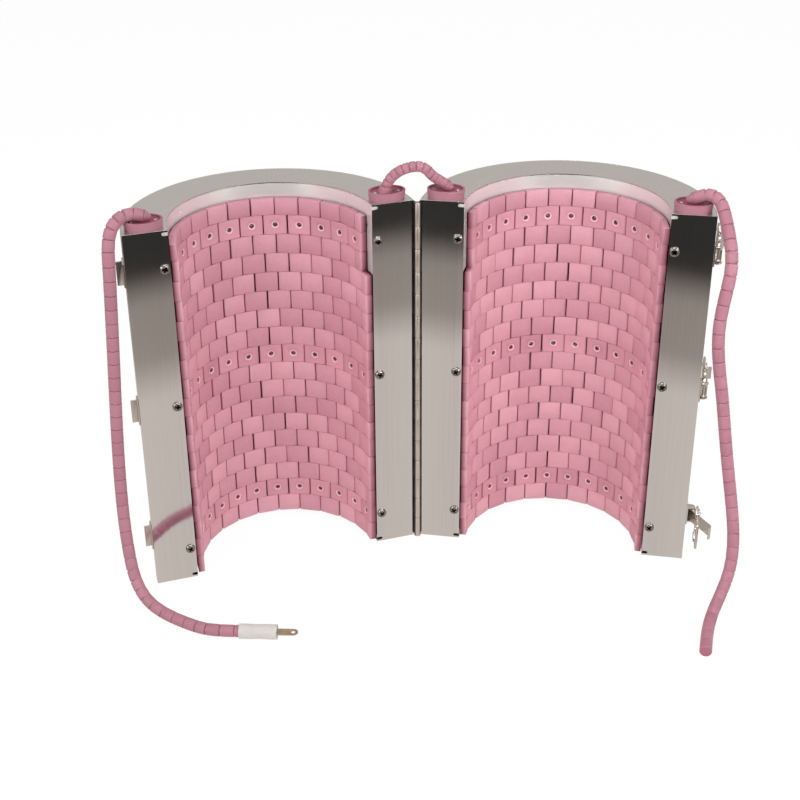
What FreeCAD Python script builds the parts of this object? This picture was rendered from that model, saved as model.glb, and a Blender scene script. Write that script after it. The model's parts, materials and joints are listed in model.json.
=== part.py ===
import FreeCAD, Part

import math
import os

from FreeCAD import Vector

# Hinged two-half ceramic pad heater, standing open on its bottom plates.
# Millimetres. Z is up, the hinge line is the Z axis, and the open bores face -Y.
os.makedirs("parts", exist_ok=True)

# Overall sizes
height = 320.0
outer_radius = 116.8
bore_radius = 81.6
opening_angle = 151.4
closed_gap = 6.0
hinge_edge = 2.1

# Sheet metal
sheet = 0.8
seam_gap = 0.1
skirt_depth = 9.0
face_fold = 10.0
liner_lip = 11.0
lip_end_gap = 2.0
notch_length = 5.0
notch_width = 2.6
notch_edge = 1.6
wool_setback = 11.0
wool_gap = 0.2

# Face screws
low_screw_rise = 29.5
middle_screw_rise = 8.0
top_screw_drop = 31.5
screw_inset = 4.6
screw_hole_radius = 2.15
screw_shank_radius = 2.0
screw_shank_length = 6.0
screw_head_radius = 4.1
screw_head_height = 2.3

# Ceramic pad
row_count = 18
tiles_in_half_turn = 12
pad_bottom = 3.0
pad_top_gap = 9.2
tile_thickness = 5.4
tile_side_gap = 0.8
tile_row_gap = 0.5
tile_liner_gap = 0.3
drilled_rows = (2, 9, 17)
tile_hole_radius = 2.3
tie_pin_radius = 1.7
tie_pin_recess = 0.5
tie_pin_gap = 0.05

# Lead bushings on the top plates
bushing_end_room = 4.2
bushing_inset = 1.2
bushing_width = 24.0
bushing_height = 7.0
bushing_recess = 2.2
bushing_rim = 1.8
stem_screw_room = 2.8
stem_width = 11.0
stem_depth = 9.0
stem_gap = 0.5
neck_end_height = 9.6
neck_end_wall = 0.3
neck_bore_depth = 4.0
lying_neck_radius = 2.4
lying_neck_length = 6.0
lying_neck_back = 0.0
latch_neck_tilt = 22.0
hinge_neck_tilt = 34.0
upright_neck_radius = 5.4
upright_neck_length = 7.0
upright_neck_back = 0.2
upright_neck_tilt = 72.0
wire_bore_radius = 1.8
cover_screw_inset = 5.7
cover_screw_hole = 1.4
cover_screw_shank = 1.25
cover_screw_reach = 4.0
cover_screw_head = 2.0
cover_screw_head_height = 1.3

# Power wires from the bushings to the pad
wire_radius = 1.2
wire_top_gap = 2.0
wire_drop = 20.0
wire_bend = 6.0
wire_channel = 6.0
wire_channel_reach = 36.0
wire_end_gap = 0.3

# Hinge
knuckle_count = 16
knuckle_radius = 2.8
knuckle_gap = 0.3
knuckle_clearance = 0.35
hinge_pin_radius = 1.1
hinge_pin_clearance = 0.05
hinge_end_gap = 1.0
leaf_thickness = 1.0
leaf_width = 14.0

# Draw latches and their keepers
low_latch_rise = 44.0
middle_latch_rise = 5.0
top_latch_drop = 34.0
keeper_half_height = 10.0
keeper_start = 2.0
keeper_end = 17.0
keeper_lip_start = 8.6
keeper_lip_thickness = 1.4
keeper_lip_rise = 5.6
base_thickness = 1.2
base_half_height = 9.0
base_start = 1.5
base_end = 24.0
ear_radius = 3.4
ear_thickness = 1.2
pivot_back = 6.0
pivot_rise = 4.0
pivot_radius = 1.2
pivot_clearance = 0.06
ear_gap = 0.3
lever_half_width = 5.6
lever_sheet = 1.0
lever_depth = 5.2
lever_length = 29.0
lever_curl = 5.0
lever_nose = 11.0
open_lever_angle = 144.0
bail_offset = 8.0
bail_reach = 31.0
bail_wire_radius = 1.0
bail_half_height = 12.0
bail_end_gap = 0.4
open_bail_angle = 36.0

# Leads
lead_radius = 5.0
lead_seat = 0.05
exit_run = 6.0
bend_share = 0.45
sleeve_radius = 6.2
sleeve_length = 31.0
sleeve_overlap = 8.0
sleeve_clearance = 0.1
terminal_length = 17.0
terminal_width = 8.0
terminal_thickness = 0.8
terminal_grip = 12.0
terminal_hole_radius = 1.8
terminal_slot_length = 4.0
terminal_slot_width = 1.0

# Flat sides of small round work, and how far a cutter runs past what it cuts
hole_sides = 6
lead_sides = 8
rod_sides = 8
head_sides = 12
oval_sides = 16
filling_sides = 12
overshoot = 1.0

# Places and sizes that follow from those above
screw_heights = (low_screw_rise, height / 2 + middle_screw_rise, height - top_screw_drop)
latch_heights = (low_latch_rise, height / 2 + middle_latch_rise, height - top_latch_drop)
row_pitch = (height - pad_bottom - pad_top_gap) / row_count
screw_circle = bore_radius + screw_inset
bushing_circle = (bore_radius + outer_radius) / 2 - bushing_inset
bushing_length = outer_radius - bore_radius - bushing_end_room
cover_screw_offset = bushing_length / 2 - cover_screw_inset
stem_length = 2 * (cover_screw_offset - stem_screw_room)
neck_end_radius = lead_radius + neck_end_wall
half_turn = math.radians((180.0 - opening_angle) / 2)
centre_s = hinge_edge + outer_radius
centre_t = closed_gap / 2
shell_inner = outer_radius - sheet
plate_outer = shell_inner - seam_gap
behind_face = sheet + seam_gap


def box(low, high):
    return Part.makeBox(high[0] - low[0], high[1] - low[1], high[2] - low[2], Vector(*low))


def between(first, second, low, high):
    """Box whose ends along s come in either order."""
    return box((min(first, second), low[0], low[1]), (max(first, second), high[0], high[1]))


def closed(corners):
    return Part.makePolygon(corners + corners[:1])


def ring_corners(sides, radius, centre, way):
    """Corners of a regular outline round a point, square to a direction."""
    turn = FreeCAD.Rotation(Vector(0, 0, 1), way)
    steps = [2 * math.pi * i / sides for i in range(sides)]
    return [centre + turn.multVec(Vector(radius * math.cos(a), radius * math.sin(a), 0)) for a in steps]


def polygon(sides, radius, centre, way):
    return closed(ring_corners(sides, radius, centre, way))


def prism(sides, radius, start, end):
    """Rod with flat sides and its corners at the radius."""
    start, end = Vector(*start), Vector(*end)
    return Part.Face(polygon(sides, radius, start, end - start)).extrude(end - start)


def bore(sides, radius, start, end):
    """Cutter with flat sides that touch the radius."""
    return prism(sides, radius / math.cos(math.pi / sides), start, end)


def frustum(sides, start_radius, end_radius, start, end):
    """Tapered rod with flat sides."""
    way = end - start
    first = ring_corners(sides, start_radius, start, way)
    last = ring_corners(sides, end_radius, end, way)
    outlines = [first, last] + [[first[i - 1], first[i], last[i], last[i - 1]] for i in range(sides)]
    return Part.makeSolid(Part.makeShell([Part.Face(closed(outline)) for outline in outlines]))


def oval(length, width, low, high):
    turns = [2 * math.pi * i / oval_sides for i in range(oval_sides)]
    corners = [Vector(length / 2 * math.cos(turn), width / 2 * math.sin(turn), low) for turn in turns]
    return Part.Face(closed(corners)).extrude(Vector(0, 0, high - low))


def half_ring(inner, outer, low, high, setback=0.0):
    """Half annulus round the bore axis, cut off at a distance behind the face plane."""
    outer_end = math.sqrt(outer ** 2 - setback ** 2)
    inner_end = math.sqrt(inner ** 2 - setback ** 2)
    outer_arc = Part.Arc(Vector(-outer_end, setback, 0), Vector(0, outer, 0), Vector(outer_end, setback, 0))
    inner_arc = Part.Arc(Vector(inner_end, setback, 0), Vector(0, inner, 0), Vector(-inner_end, setback, 0))
    edges = [
        outer_arc.toShape(),
        Part.LineSegment(Vector(outer_end, setback, 0), Vector(inner_end, setback, 0)).toShape(),
        inner_arc.toShape(),
        Part.LineSegment(Vector(-inner_end, setback, 0), Vector(-outer_end, setback, 0)).toShape(),
    ]
    solid = Part.Face(Part.Wire(edges)).extrude(Vector(0, 0, high - low))
    solid.translate(Vector(centre_s, centre_t, low))
    return solid


def shell_patch(inner, outer, start, end, low, high):
    """Piece of a ring beside the latch edge, between two distances behind the face plane."""
    window = box((centre_s, centre_t + start, low), (centre_s + outer + overshoot, centre_t + end, high))
    return half_ring(inner, outer, low, high).common(window)


# Sheet metal and filling of one half
def outer_shell():
    return half_ring(shell_inner, outer_radius, 0, height, behind_face)


def end_plate(inner_face, outer_face, skirt_end, bushings):
    """Half-ring pan: the plate, with a skirt along the inside of the shell."""
    low, high = sorted((inner_face, outer_face))
    plate = half_ring(bore_radius, plate_outer, low, high, behind_face)
    low, high = sorted((skirt_end, inner_face))
    plate = plate.fuse(half_ring(plate_outer - sheet, plate_outer, low, high, behind_face)).removeSplitter()
    under, over = height - sheet - overshoot, height + overshoot
    for s, t in bushings:
        hole = oval(stem_length + 2 * stem_gap, stem_width + 2 * stem_gap, under, over)
        hole.translate(Vector(s, t, 0))
        plate = plate.cut(hole)
        for side in (-1, 1):
            x = s + side * cover_screw_offset
            plate = plate.cut(bore(hole_sides, cover_screw_hole, (x, t, under), (x, t, over)))
    return plate


def liner():
    """Polished bore sheet with a flat lip behind each face plate."""
    low, high = sheet + seam_gap, height - sheet - seam_gap
    solid = half_ring(bore_radius, bore_radius + sheet, low, high, behind_face)
    lip_low, lip_high = skirt_depth + lip_end_gap, height - skirt_depth - lip_end_gap
    front = centre_t + behind_face
    back = front + sheet
    for side in (-1, 1):
        near = centre_s + side * (bore_radius + sheet / 2)
        far = centre_s + side * (bore_radius + liner_lip)
        solid = solid.fuse(between(near, far, (front, lip_low), (back, lip_high)))
        for z in screw_heights:
            s = centre_s + side * screw_circle
            near, far = (s, front - overshoot, z), (s, back + overshoot, z)
            solid = solid.cut(bore(hole_sides, screw_hole_radius, near, far))
    for s, t in bushing_places:
        solid = solid.cut(bore(hole_sides, wire_bore_radius, (s, t, wire_level), (centre_s, t, wire_level)))
    return solid.removeSplitter()


def wool():
    """Ceramic fibre packed between the liner and the outer shell, with room for the wires."""
    inner = (bore_radius + sheet + wool_gap) / math.cos(math.pi / filling_sides / 2)
    outer = plate_outer - sheet - wool_gap
    low, high = sheet + seam_gap, height - sheet - seam_gap
    corners = []
    for radius in (outer, inner):
        start = math.asin(wool_setback / radius)
        turns = [start + (math.pi - 2 * start) * i / filling_sides for i in range(filling_sides + 1)]
        arc = [Vector(centre_s + radius * math.cos(a), centre_t + radius * math.sin(a), low) for a in turns]
        corners += arc if radius == outer else arc[::-1]
    solid = Part.Face(closed(corners)).extrude(Vector(0, 0, high - low))
    half = cover_screw_offset + cover_screw_shank + wool_gap
    for s, t in bushing_places:
        floor = height - stem_depth - overshoot
        solid = solid.cut(box((s - half, t - half, floor), (s + half, t + half, height)))
        towards = 1 if s < centre_s else -1
        near, far = s - towards * wire_channel, s + towards * wire_channel_reach
        front, floor = t - wire_channel / 2, wire_level - wire_channel / 2
        solid = solid.cut(between(near, far, (front, floor), (front + wire_channel, height)))
    return solid


def face_plate(side):
    """Flat bright strip on the meeting face, folded back inside the shell along its outer edge."""
    outer_edge = centre_s + side * outer_radius
    inner_edge = centre_s + side * bore_radius
    front, back = centre_t, centre_t + sheet
    plate = between(outer_edge, inner_edge, (front, 0), (back, height))
    depth = sheet + face_fold
    sag = shell_inner - math.sqrt(shell_inner ** 2 - depth ** 2)
    fold_far = centre_s + side * (plate_outer - sheet - sag)
    fold_low, fold_high = skirt_depth + lip_end_gap, height - skirt_depth - lip_end_gap
    fold = between(fold_far, fold_far - side * sheet, (front, fold_low), (front + depth, fold_high))
    plate = plate.fuse(fold)
    before, beyond = front - overshoot, back + overshoot
    for z in screw_heights:
        s = centre_s + side * screw_circle
        plate = plate.cut(bore(rod_sides, screw_hole_radius, (s, before, z), (s, beyond, z)))
    half = notch_width / 2
    notch_end = inner_edge + side * (notch_length - half)
    for z in (notch_edge + half, height - notch_edge - half):
        slot = between(inner_edge - side * overshoot, notch_end, (before, z - half), (beyond, z + half))
        round_end = prism(rod_sides, half, (notch_end, before, z), (notch_end, beyond, z))
        plate = plate.cut(slot.fuse(round_end))
    return plate.removeSplitter()


def face_screws():
    screws = []
    for side in (-1, 1):
        for z in screw_heights:
            s = centre_s + side * screw_circle
            seat = (s, centre_t, z)
            shank = prism(rod_sides, screw_shank_radius, seat, (s, centre_t + screw_shank_length, z))
            head = prism(head_sides, screw_head_radius, seat, (s, centre_t - screw_head_height, z))
            screws.append(head.fuse(shank))
    return Part.makeCompound(screws)


# Ceramic pad of one half: flat tiles in running bond
tile_turn = math.pi / tiles_in_half_turn


def half_width(apothem, share=1.0):
    return share * apothem * math.tan(tile_turn / 2) - tile_side_gap / 2


corner_radius = bore_radius - tile_liner_gap
tile_back = corner_radius * math.cos(tile_turn / 2)
tile_front = tile_back - tile_thickness


def tile(low, high, share):
    """One tile, wider at its back."""
    back, front = half_width(tile_back, share), half_width(tile_front, share)
    corners = [
        Vector(tile_back, -back, low),
        Vector(tile_back, back, low),
        Vector(tile_front, front, low),
        Vector(tile_front, -front, low),
    ]
    return Part.Face(closed(corners)).extrude(Vector(0, 0, high - low))


def into_pad(shape, angle):
    shape.rotate(Vector(0, 0, 0), Vector(0, 0, 1), math.degrees(angle))
    shape.translate(Vector(centre_s, centre_t, 0))
    return shape


def row_angles(row):
    """Middle angle and width share of each tile; every other row starts and ends with half tiles."""
    if row % 2:
        return [((i + 0.5) * tile_turn, 1.0) for i in range(tiles_in_half_turn)]
    whole = [(i * tile_turn, 1.0) for i in range(1, tiles_in_half_turn)]
    ends = [(tile_turn / 4, 0.5), (math.pi - tile_turn / 4, 0.5)]
    return whole + ends


def pad():
    """Plain tiles, drilled tiles and the tie pins that hold the drilled rows."""
    plain, drilled, pins = [], [], []
    pin_end = math.sqrt(bore_radius ** 2 - tie_pin_radius ** 2) - tie_pin_gap
    for row in range(1, row_count + 1):
        high = pad_bottom + (row_count + 1 - row) * row_pitch - tile_row_gap / 2
        low = high - row_pitch + tile_row_gap
        z = (low + high) / 2
        for angle, share in row_angles(row):
            solid = tile(low, high, share)
            if row in drilled_rows and share == 1.0:
                front, back = tile_front - overshoot, tile_back + overshoot
                hole = prism(hole_sides, tile_hole_radius, (front, 0, z), (back, 0, z))
                pin = prism(hole_sides, tie_pin_radius, (tile_front + tie_pin_recess, 0, z), (pin_end, 0, z))
                drilled.append(into_pad(solid.cut(hole), angle))
                pins.append(into_pad(pin, angle))
            else:
                plain.append(into_pad(solid, angle))
    return Part.makeCompound(plain), Part.makeCompound(drilled), Part.makeCompound(pins)


# Lead bushings and power wires
bushing_t = centre_t + bushing_width / 2 + seam_gap
hinge_bushing_s = centre_s - bushing_circle
latch_bushing_s = centre_s + bushing_circle
bushing_places = ((hinge_bushing_s, bushing_t), (latch_bushing_s, bushing_t))
wire_level = height - wire_drop
lying_neck = (lying_neck_radius, lying_neck_length, lying_neck_back)
upright_neck = (upright_neck_radius, upright_neck_length, upright_neck_back)


def bushing(s, towards, neck_shape, tilt):
    """Oval ceramic bushing on the top plate; its tapered neck points up and along s."""
    start_radius, length, back = neck_shape
    body = oval(bushing_length, bushing_width, 0, bushing_height)
    floor = bushing_height - bushing_recess
    dish_length, dish_width = bushing_length - 2 * bushing_rim, bushing_width - 2 * bushing_rim
    dish = oval(dish_length, dish_width, floor, bushing_height + overshoot)
    stem = oval(stem_length, stem_width, -stem_depth, 0)
    way = Vector(towards * math.cos(math.radians(tilt)), 0, math.sin(math.radians(tilt)))
    end = Vector(-towards * back, 0, neck_end_height)
    start = end - way * length
    neck = frustum(head_sides, start_radius, neck_end_radius, start, end)
    solid = body.cut(dish).fuse([stem, neck]).removeSplitter()
    wire_top = bushing_height - wire_bore_radius
    down_bore = bore(hole_sides, wire_bore_radius, (0, 0, -stem_depth - overshoot), (0, 0, wire_top))
    neck_bore = bore(rod_sides, wire_bore_radius, end - way * neck_bore_depth, end + way)
    solid = solid.cut(down_bore.fuse(neck_bore))
    for side in (-1, 1):
        x = side * cover_screw_offset
        solid = solid.cut(bore(hole_sides, cover_screw_hole, (x, 0, -overshoot), (x, 0, bushing_height)))
    solid.translate(Vector(s, bushing_t, height))
    return solid


def cover_screws():
    screws = []
    seat = height + bushing_height - bushing_recess
    for s, t in bushing_places:
        for side in (-1, 1):
            x = s + side * cover_screw_offset
            tip = (x, t, height - sheet - cover_screw_reach)
            shank = prism(hole_sides, cover_screw_shank, tip, (x, t, seat))
            head = prism(rod_sides, cover_screw_head, (x, t, seat), (x, t, seat + cover_screw_head_height))
            screws.append(shank.fuse(head))
    return Part.makeCompound(screws)


def bent_wire(corners, sides, radius):
    """Stiff wire through a list of corners, mitred at each."""
    path = Part.makePolygon(corners)
    profile = Part.Wire(polygon(sides, radius, corners[0], corners[1] - corners[0]).Edges)
    return path.makePipeShell([profile], True, False, 1)


def power_wires():
    """Stiff wires down through the bushings and in through the liner to the back of the pad."""
    wires = []
    for s, t in bushing_places:
        towards = 1 if s < centre_s else -1
        reach = abs(centre_s - s) - math.sqrt(corner_radius ** 2 - (t - centre_t) ** 2) - wire_end_gap
        corners = [
            Vector(s, t, height + bushing_height - wire_top_gap),
            Vector(s, t, wire_level + wire_bend),
            Vector(s + towards * wire_bend, t, wire_level),
            Vector(s + towards * reach, t, wire_level),
        ]
        wires.append(bent_wire(corners, hole_sides, wire_radius))
    return Part.makeCompound(wires)


# Hinge
knuckle_length = (height - 2 * hinge_end_gap) / knuckle_count


def knuckle_span(i):
    low = hinge_end_gap + i * knuckle_length
    return low + knuckle_gap / 2, low + knuckle_length - knuckle_gap / 2


def hinge_leaf(first):
    """Leaf against the shell's side with every second knuckle; the gaps between clear the other leaf's."""
    inner, outer = outer_radius + seam_gap / 2, outer_radius + seam_gap / 2 + leaf_thickness
    low, high = hinge_end_gap, height - hinge_end_gap
    window = box((-outer_radius, centre_t, low), (centre_s, centre_t + leaf_width, high))
    leaf = half_ring(inner, outer, low, high).common(window)
    near = centre_s - outer
    leaf = leaf.fuse(box((near, 0, low), (near + leaf_thickness, centre_t, high)))
    for i in range(knuckle_count):
        start, end = knuckle_span(i)
        if i % 2 == first:
            leaf = leaf.fuse(prism(rod_sides, knuckle_radius, (0, 0, start), (0, 0, end)))
        else:
            room = knuckle_radius + knuckle_clearance
            leaf = leaf.cut(bore(rod_sides, room, (0, 0, start - knuckle_gap), (0, 0, end + knuckle_gap)))
    pin_room = hinge_pin_radius + hinge_pin_clearance
    return leaf.cut(bore(rod_sides, pin_room, (0, 0, -overshoot), (0, 0, height + overshoot)))


def hinge_pin():
    return Part.makeCylinder(hinge_pin_radius, height - 2 * hinge_end_gap, Vector(0, 0, hinge_end_gap))


# Draw latches on one half, keepers on the other
pivot_s = centre_s + math.sqrt(outer_radius ** 2 - pivot_back ** 2) + pivot_rise
pivot_t = centre_t + pivot_back
bail_s = pivot_s
bail_t = pivot_t + bail_offset
fit_radius = outer_radius + seam_gap / 2


def shell_round():
    """Cylinder just outside the shell, for trimming what sits on it."""
    return Part.makeCylinder(fit_radius, height, Vector(centre_s, centre_t, 0))


def keeper(z):
    """Plate formed to the shell with an upright lip for the bail to catch behind."""
    low, high = z - keeper_half_height, z + keeper_half_height
    plate = shell_patch(fit_radius, fit_radius + base_thickness, keeper_start, keeper_end, low, high)
    front = centre_t + keeper_lip_start
    far = centre_s + outer_radius + keeper_lip_rise
    lip = box((centre_s + outer_radius - overshoot, front, low), (far, front + keeper_lip_thickness, high))
    return plate.fuse(lip.cut(shell_round())).removeSplitter()


def latch_base(z):
    """Plate formed to the shell with two ears that carry the lever's pivot."""
    low, high = z - base_half_height, z + base_half_height
    solid = shell_patch(fit_radius, fit_radius + base_thickness, base_start, base_end, low, high)
    for side in (-1, 1):
        near = z + side * (lever_half_width + ear_gap)
        ends = sorted((near, near + side * ear_thickness))
        ear = prism(head_sides, ear_radius, (pivot_s, pivot_t, ends[0]), (pivot_s, pivot_t, ends[1]))
        root = (centre_s + outer_radius - overshoot, pivot_t - ear_radius, ends[0])
        foot = box(root, (pivot_s, pivot_t + ear_radius, ends[1]))
        solid = solid.fuse(ear.fuse(foot).cut(shell_round()))
    room = pivot_radius + pivot_clearance
    hole = bore(rod_sides, room, (pivot_s, pivot_t, low), (pivot_s, pivot_t, high))
    return solid.cut(hole).removeSplitter()


def latch_pin(z):
    half = lever_half_width + ear_gap + ear_thickness
    return Part.makeCylinder(pivot_radius, 2 * half, Vector(pivot_s, pivot_t, z - half))


def latch_lever(z):
    """Folded channel with a curled finger end, lying back along the shell when closed."""
    low, high = z - lever_half_width, z + lever_half_width
    top = pivot_s + lever_depth / 2
    tip = pivot_t + lever_length
    start = pivot_t - lever_sheet
    solid = box((top - lever_sheet, start, low), (top, tip, high))
    for edge in (low, high - lever_sheet):
        inside = edge + lever_sheet
        cheek = box((top - lever_depth, start, edge), (top, pivot_t + lever_nose, inside))
        nose = prism(head_sides, lever_depth / 2, (pivot_s, pivot_t, edge), (pivot_s, pivot_t, inside))
        solid = solid.fuse([cheek, nose])
    roll_s = top - lever_sheet + lever_curl
    curl = prism(head_sides, lever_curl, (roll_s, tip, low), (roll_s, tip, high))
    hollow = prism(head_sides, lever_curl - lever_sheet, (roll_s, tip, low), (roll_s, tip, high))
    quarter = box((roll_s - lever_curl, tip, low), (roll_s, tip + lever_curl, high))
    solid = solid.fuse(curl.cut(hollow).common(quarter))
    for s, t, radius in ((pivot_s, pivot_t, pivot_radius), (bail_s, bail_t, bail_wire_radius)):
        solid = solid.cut(bore(rod_sides, radius + pivot_clearance, (s, t, low), (s, t, high)))
    return solid.removeSplitter()


def latch_bail(z):
    """Bent wire loop: its ends turn into the lever's cheeks, its cross wire catches the keeper."""
    end = bail_t + bail_reach
    inside = lever_half_width - lever_sheet - bail_end_gap
    low, high = z - bail_half_height, z + bail_half_height
    corners = [
        Vector(bail_s, bail_t, z - inside),
        Vector(bail_s, bail_t, low),
        Vector(bail_s, end, low),
        Vector(bail_s, end, high),
        Vector(bail_s, bail_t, high),
        Vector(bail_s, bail_t, z + inside),
    ]
    return bent_wire(corners, rod_sides, bail_wire_radius)


def swing(shape, angle, s, t):
    """Turns a latch piece outward and forward about an upright line."""
    shape.rotate(Vector(s, t, 0), Vector(0, 0, 1), -angle)
    return shape


def latch(index):
    z = latch_heights[index]
    lever, bail = latch_lever(z), latch_bail(z)
    if index == 0:
        swing(bail, open_bail_angle, bail_s, bail_t)
        swing(bail, open_lever_angle, pivot_s, pivot_t)
        swing(lever, open_lever_angle, pivot_s, pivot_t)
    return latch_base(z), lever, bail


# Leads: how far beyond the shell's edge, behind the face plane and up, as a share of the height
left_lead_hanging = [
    (-6.3, 13.9, 1.039), (0.3, 11.7, 1.034), (6.0, 9.0, 1.018), (9.5, 6.4, 0.993),
    (11.2, 4.5, 0.956), (11.9, 3.9, 0.905), (13.4, 4.1, 0.819), (15.6, 5.0, 0.694),
    (18.3, 6.1, 0.550), (20.5, 6.9, 0.412), (21.9, 5.4, 0.300), (22.7, 0.2, 0.208),
    (22.5, -8.1, 0.134), (21.3, -19.5, 0.077),
]
right_lead_hanging = [
    (-5.9, 13.5, 1.046), (1.8, 8.0, 1.033), (5.8, -1.0, 1.003), (9.4, -10.8, 0.968),
    (12.3, -20.0, 0.937), (12.9, -27.0, 0.890), (9.3, -31.3, 0.823), (7.2, -33.3, 0.746),
    (10.4, -33.9, 0.661), (16.3, -34.5, 0.569), (21.5, -35.6, 0.469), (27.1, -37.5, 0.368),
    (33.3, -39.9, 0.268), (38.0, -44.4, 0.178), (37.7, -52.4, 0.100),
]
# Where a lead nears the floor, its last column is a height in millimetres
left_lead_floor = [
    (15.8, -33.7, 12.4), (5.0, -48.7, 6.4), (-7.3, -63.8, 5.0), (-18.4, -79.4, 5.4),
    (-29.9, -93.3, 6.2), (-44.1, -103.1, 6.2),
]
right_lead_floor = [
    (31.4, -64.2, 14.7), (25.4, -78.5, 6.6), (21.5, -97.2, 5.0), (19.5, -116.1, 5.2),
    (18.7, -133.2, 5.0),
]
# Jumper: share of the way out to its ends, distance behind the hinge line, height above the top plates
jumper_middle = [
    (-0.60, 8.5, 22.6), (-0.24, 7.0, 26.1), (0.11, 7.1, 26.8), (0.36, 7.7, 23.5),
    (0.53, 8.9, 17.0),
]


def in_place(s, t, z, side):
    """Point of a half's own frame in the finished part; side is -1 for the left half and 1 for the right."""
    x = s * math.cos(half_turn) + t * math.sin(half_turn)
    y = -s * math.sin(half_turn) + t * math.cos(half_turn)
    return Vector(side * x, y, z)


def neck_exit(s, towards, neck_shape, tilt, side):
    """First two points of a lead, seated on a bushing's neck and straight out of it."""
    back = neck_shape[2]
    points = []
    for run in (lead_seat, exit_run):
        along_s = s - towards * back + towards * run * math.cos(math.radians(tilt))
        up = height + neck_end_height + run * math.sin(math.radians(tilt))
        points.append(in_place(along_s, bushing_t, up, side))
    return points


def lead_route(hanging, floor, side):
    edge = centre_s + outer_radius
    route = neck_exit(latch_bushing_s, 1, lying_neck, latch_neck_tilt, side)
    route += [in_place(edge + beyond, behind, share * height, side) for beyond, behind, share in hanging]
    route += [in_place(edge + beyond, behind, up, side) for beyond, behind, up in floor]
    return route


def jumper_route():
    left = neck_exit(hinge_bushing_s, -1, upright_neck, upright_neck_tilt, -1)
    right = neck_exit(hinge_bushing_s, -1, lying_neck, hinge_neck_tilt, 1)
    reach = right[0].x
    return left + [Vector(share * reach, y, height + up) for share, y, up in jumper_middle] + right[::-1]


def tube(route, name):
    """Lead along straight runs joined by tangent arcs, each as large as its two runs allow."""
    edges, at, length, radii = [], route[0], 0.0, []
    for before, corner, after in zip(route, route[1:], route[2:]):
        back, ahead = before - corner, after - corner
        turn = math.pi - back.getAngle(ahead)
        cut = bend_share * min(back.Length, ahead.Length)
        bend = cut / math.tan(turn / 2)
        back.normalize()
        ahead.normalize()
        start, end = corner + back * cut, corner + ahead * cut
        inward = (back + ahead).normalize()
        middle = corner + inward * (bend / math.cos(turn / 2) - bend)
        edges += [Part.LineSegment(at, start).toShape(), Part.Arc(start, middle, end).toShape()]
        length += (start - at).Length + bend * turn
        radii.append(bend)
        at = end
    edges.append(Part.LineSegment(at, route[-1]).toShape())
    length += (route[-1] - at).Length
    profile = Part.Wire(polygon(lead_sides, lead_radius, route[0], route[1] - route[0]).Edges)
    solid = Part.Wire(edges).makePipeShell([profile], True, False)
    expected = Part.Face(profile).Area * length
    print(name, "points", [(round(p.x, 2), round(p.y, 2), round(p.z, 2)) for p in route])
    print(name, "length", round(length, 1), "radii", [round(r, 1) for r in radii])
    print(name, "valid", solid.isValid(), "volume share", round(solid.Volume / expected, 4))
    return solid


def along(route):
    """Places a shape built along X so that it carries on from the route's last run."""
    start, end = route[-2], route[-1]
    return FreeCAD.Placement(end, FreeCAD.Rotation(Vector(1, 0, 0), end - start))


def sleeve():
    solid = prism(head_sides, sleeve_radius, (-sleeve_overlap, 0, 0), (sleeve_length - sleeve_overlap, 0, 0))
    socket_start = (-sleeve_overlap - overshoot, 0, 0)
    socket = bore(rod_sides, lead_radius + sleeve_clearance, socket_start, (sleeve_clearance, 0, 0))
    half, thick = terminal_width / 2 + sleeve_clearance, terminal_thickness / 2 + sleeve_clearance
    slot = box((0, -half, -thick), (sleeve_length, half, thick))
    return solid.cut(socket.fuse(slot))


def terminal():
    """Flat brass tab with a round end, a hole and a short slot."""
    start = sleeve_length - sleeve_overlap - terminal_grip
    end = sleeve_length - sleeve_overlap + terminal_length
    half, thick = terminal_width / 2, terminal_thickness / 2
    solid = box((start, -half, -thick), (end - half, half, thick))
    middle = Vector(end - half, 0, -thick)
    solid = solid.fuse(Part.makeCylinder(half, terminal_thickness, middle))
    solid = solid.cut(Part.makeCylinder(terminal_hole_radius, terminal_thickness, middle))
    slot_end = end - terminal_width - terminal_hole_radius
    slot_half = terminal_slot_width / 2
    slot = box((slot_end - terminal_slot_length, -slot_half, -thick), (slot_end, slot_half, thick))
    return solid.cut(slot).removeSplitter()


# Placing and writing
def to_right(shape):
    shape.rotate(Vector(0, 0, 0), Vector(0, 0, 1), -math.degrees(half_turn))
    return shape


def to_left(shape):
    return to_right(shape).mirror(Vector(0, 0, 0), Vector(1, 0, 0))


def save(name, shape):
    shape.exportStep("parts/" + name + ".step")
    print(name, "solids", len(shape.Solids), "valid", shape.isValid())


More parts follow.
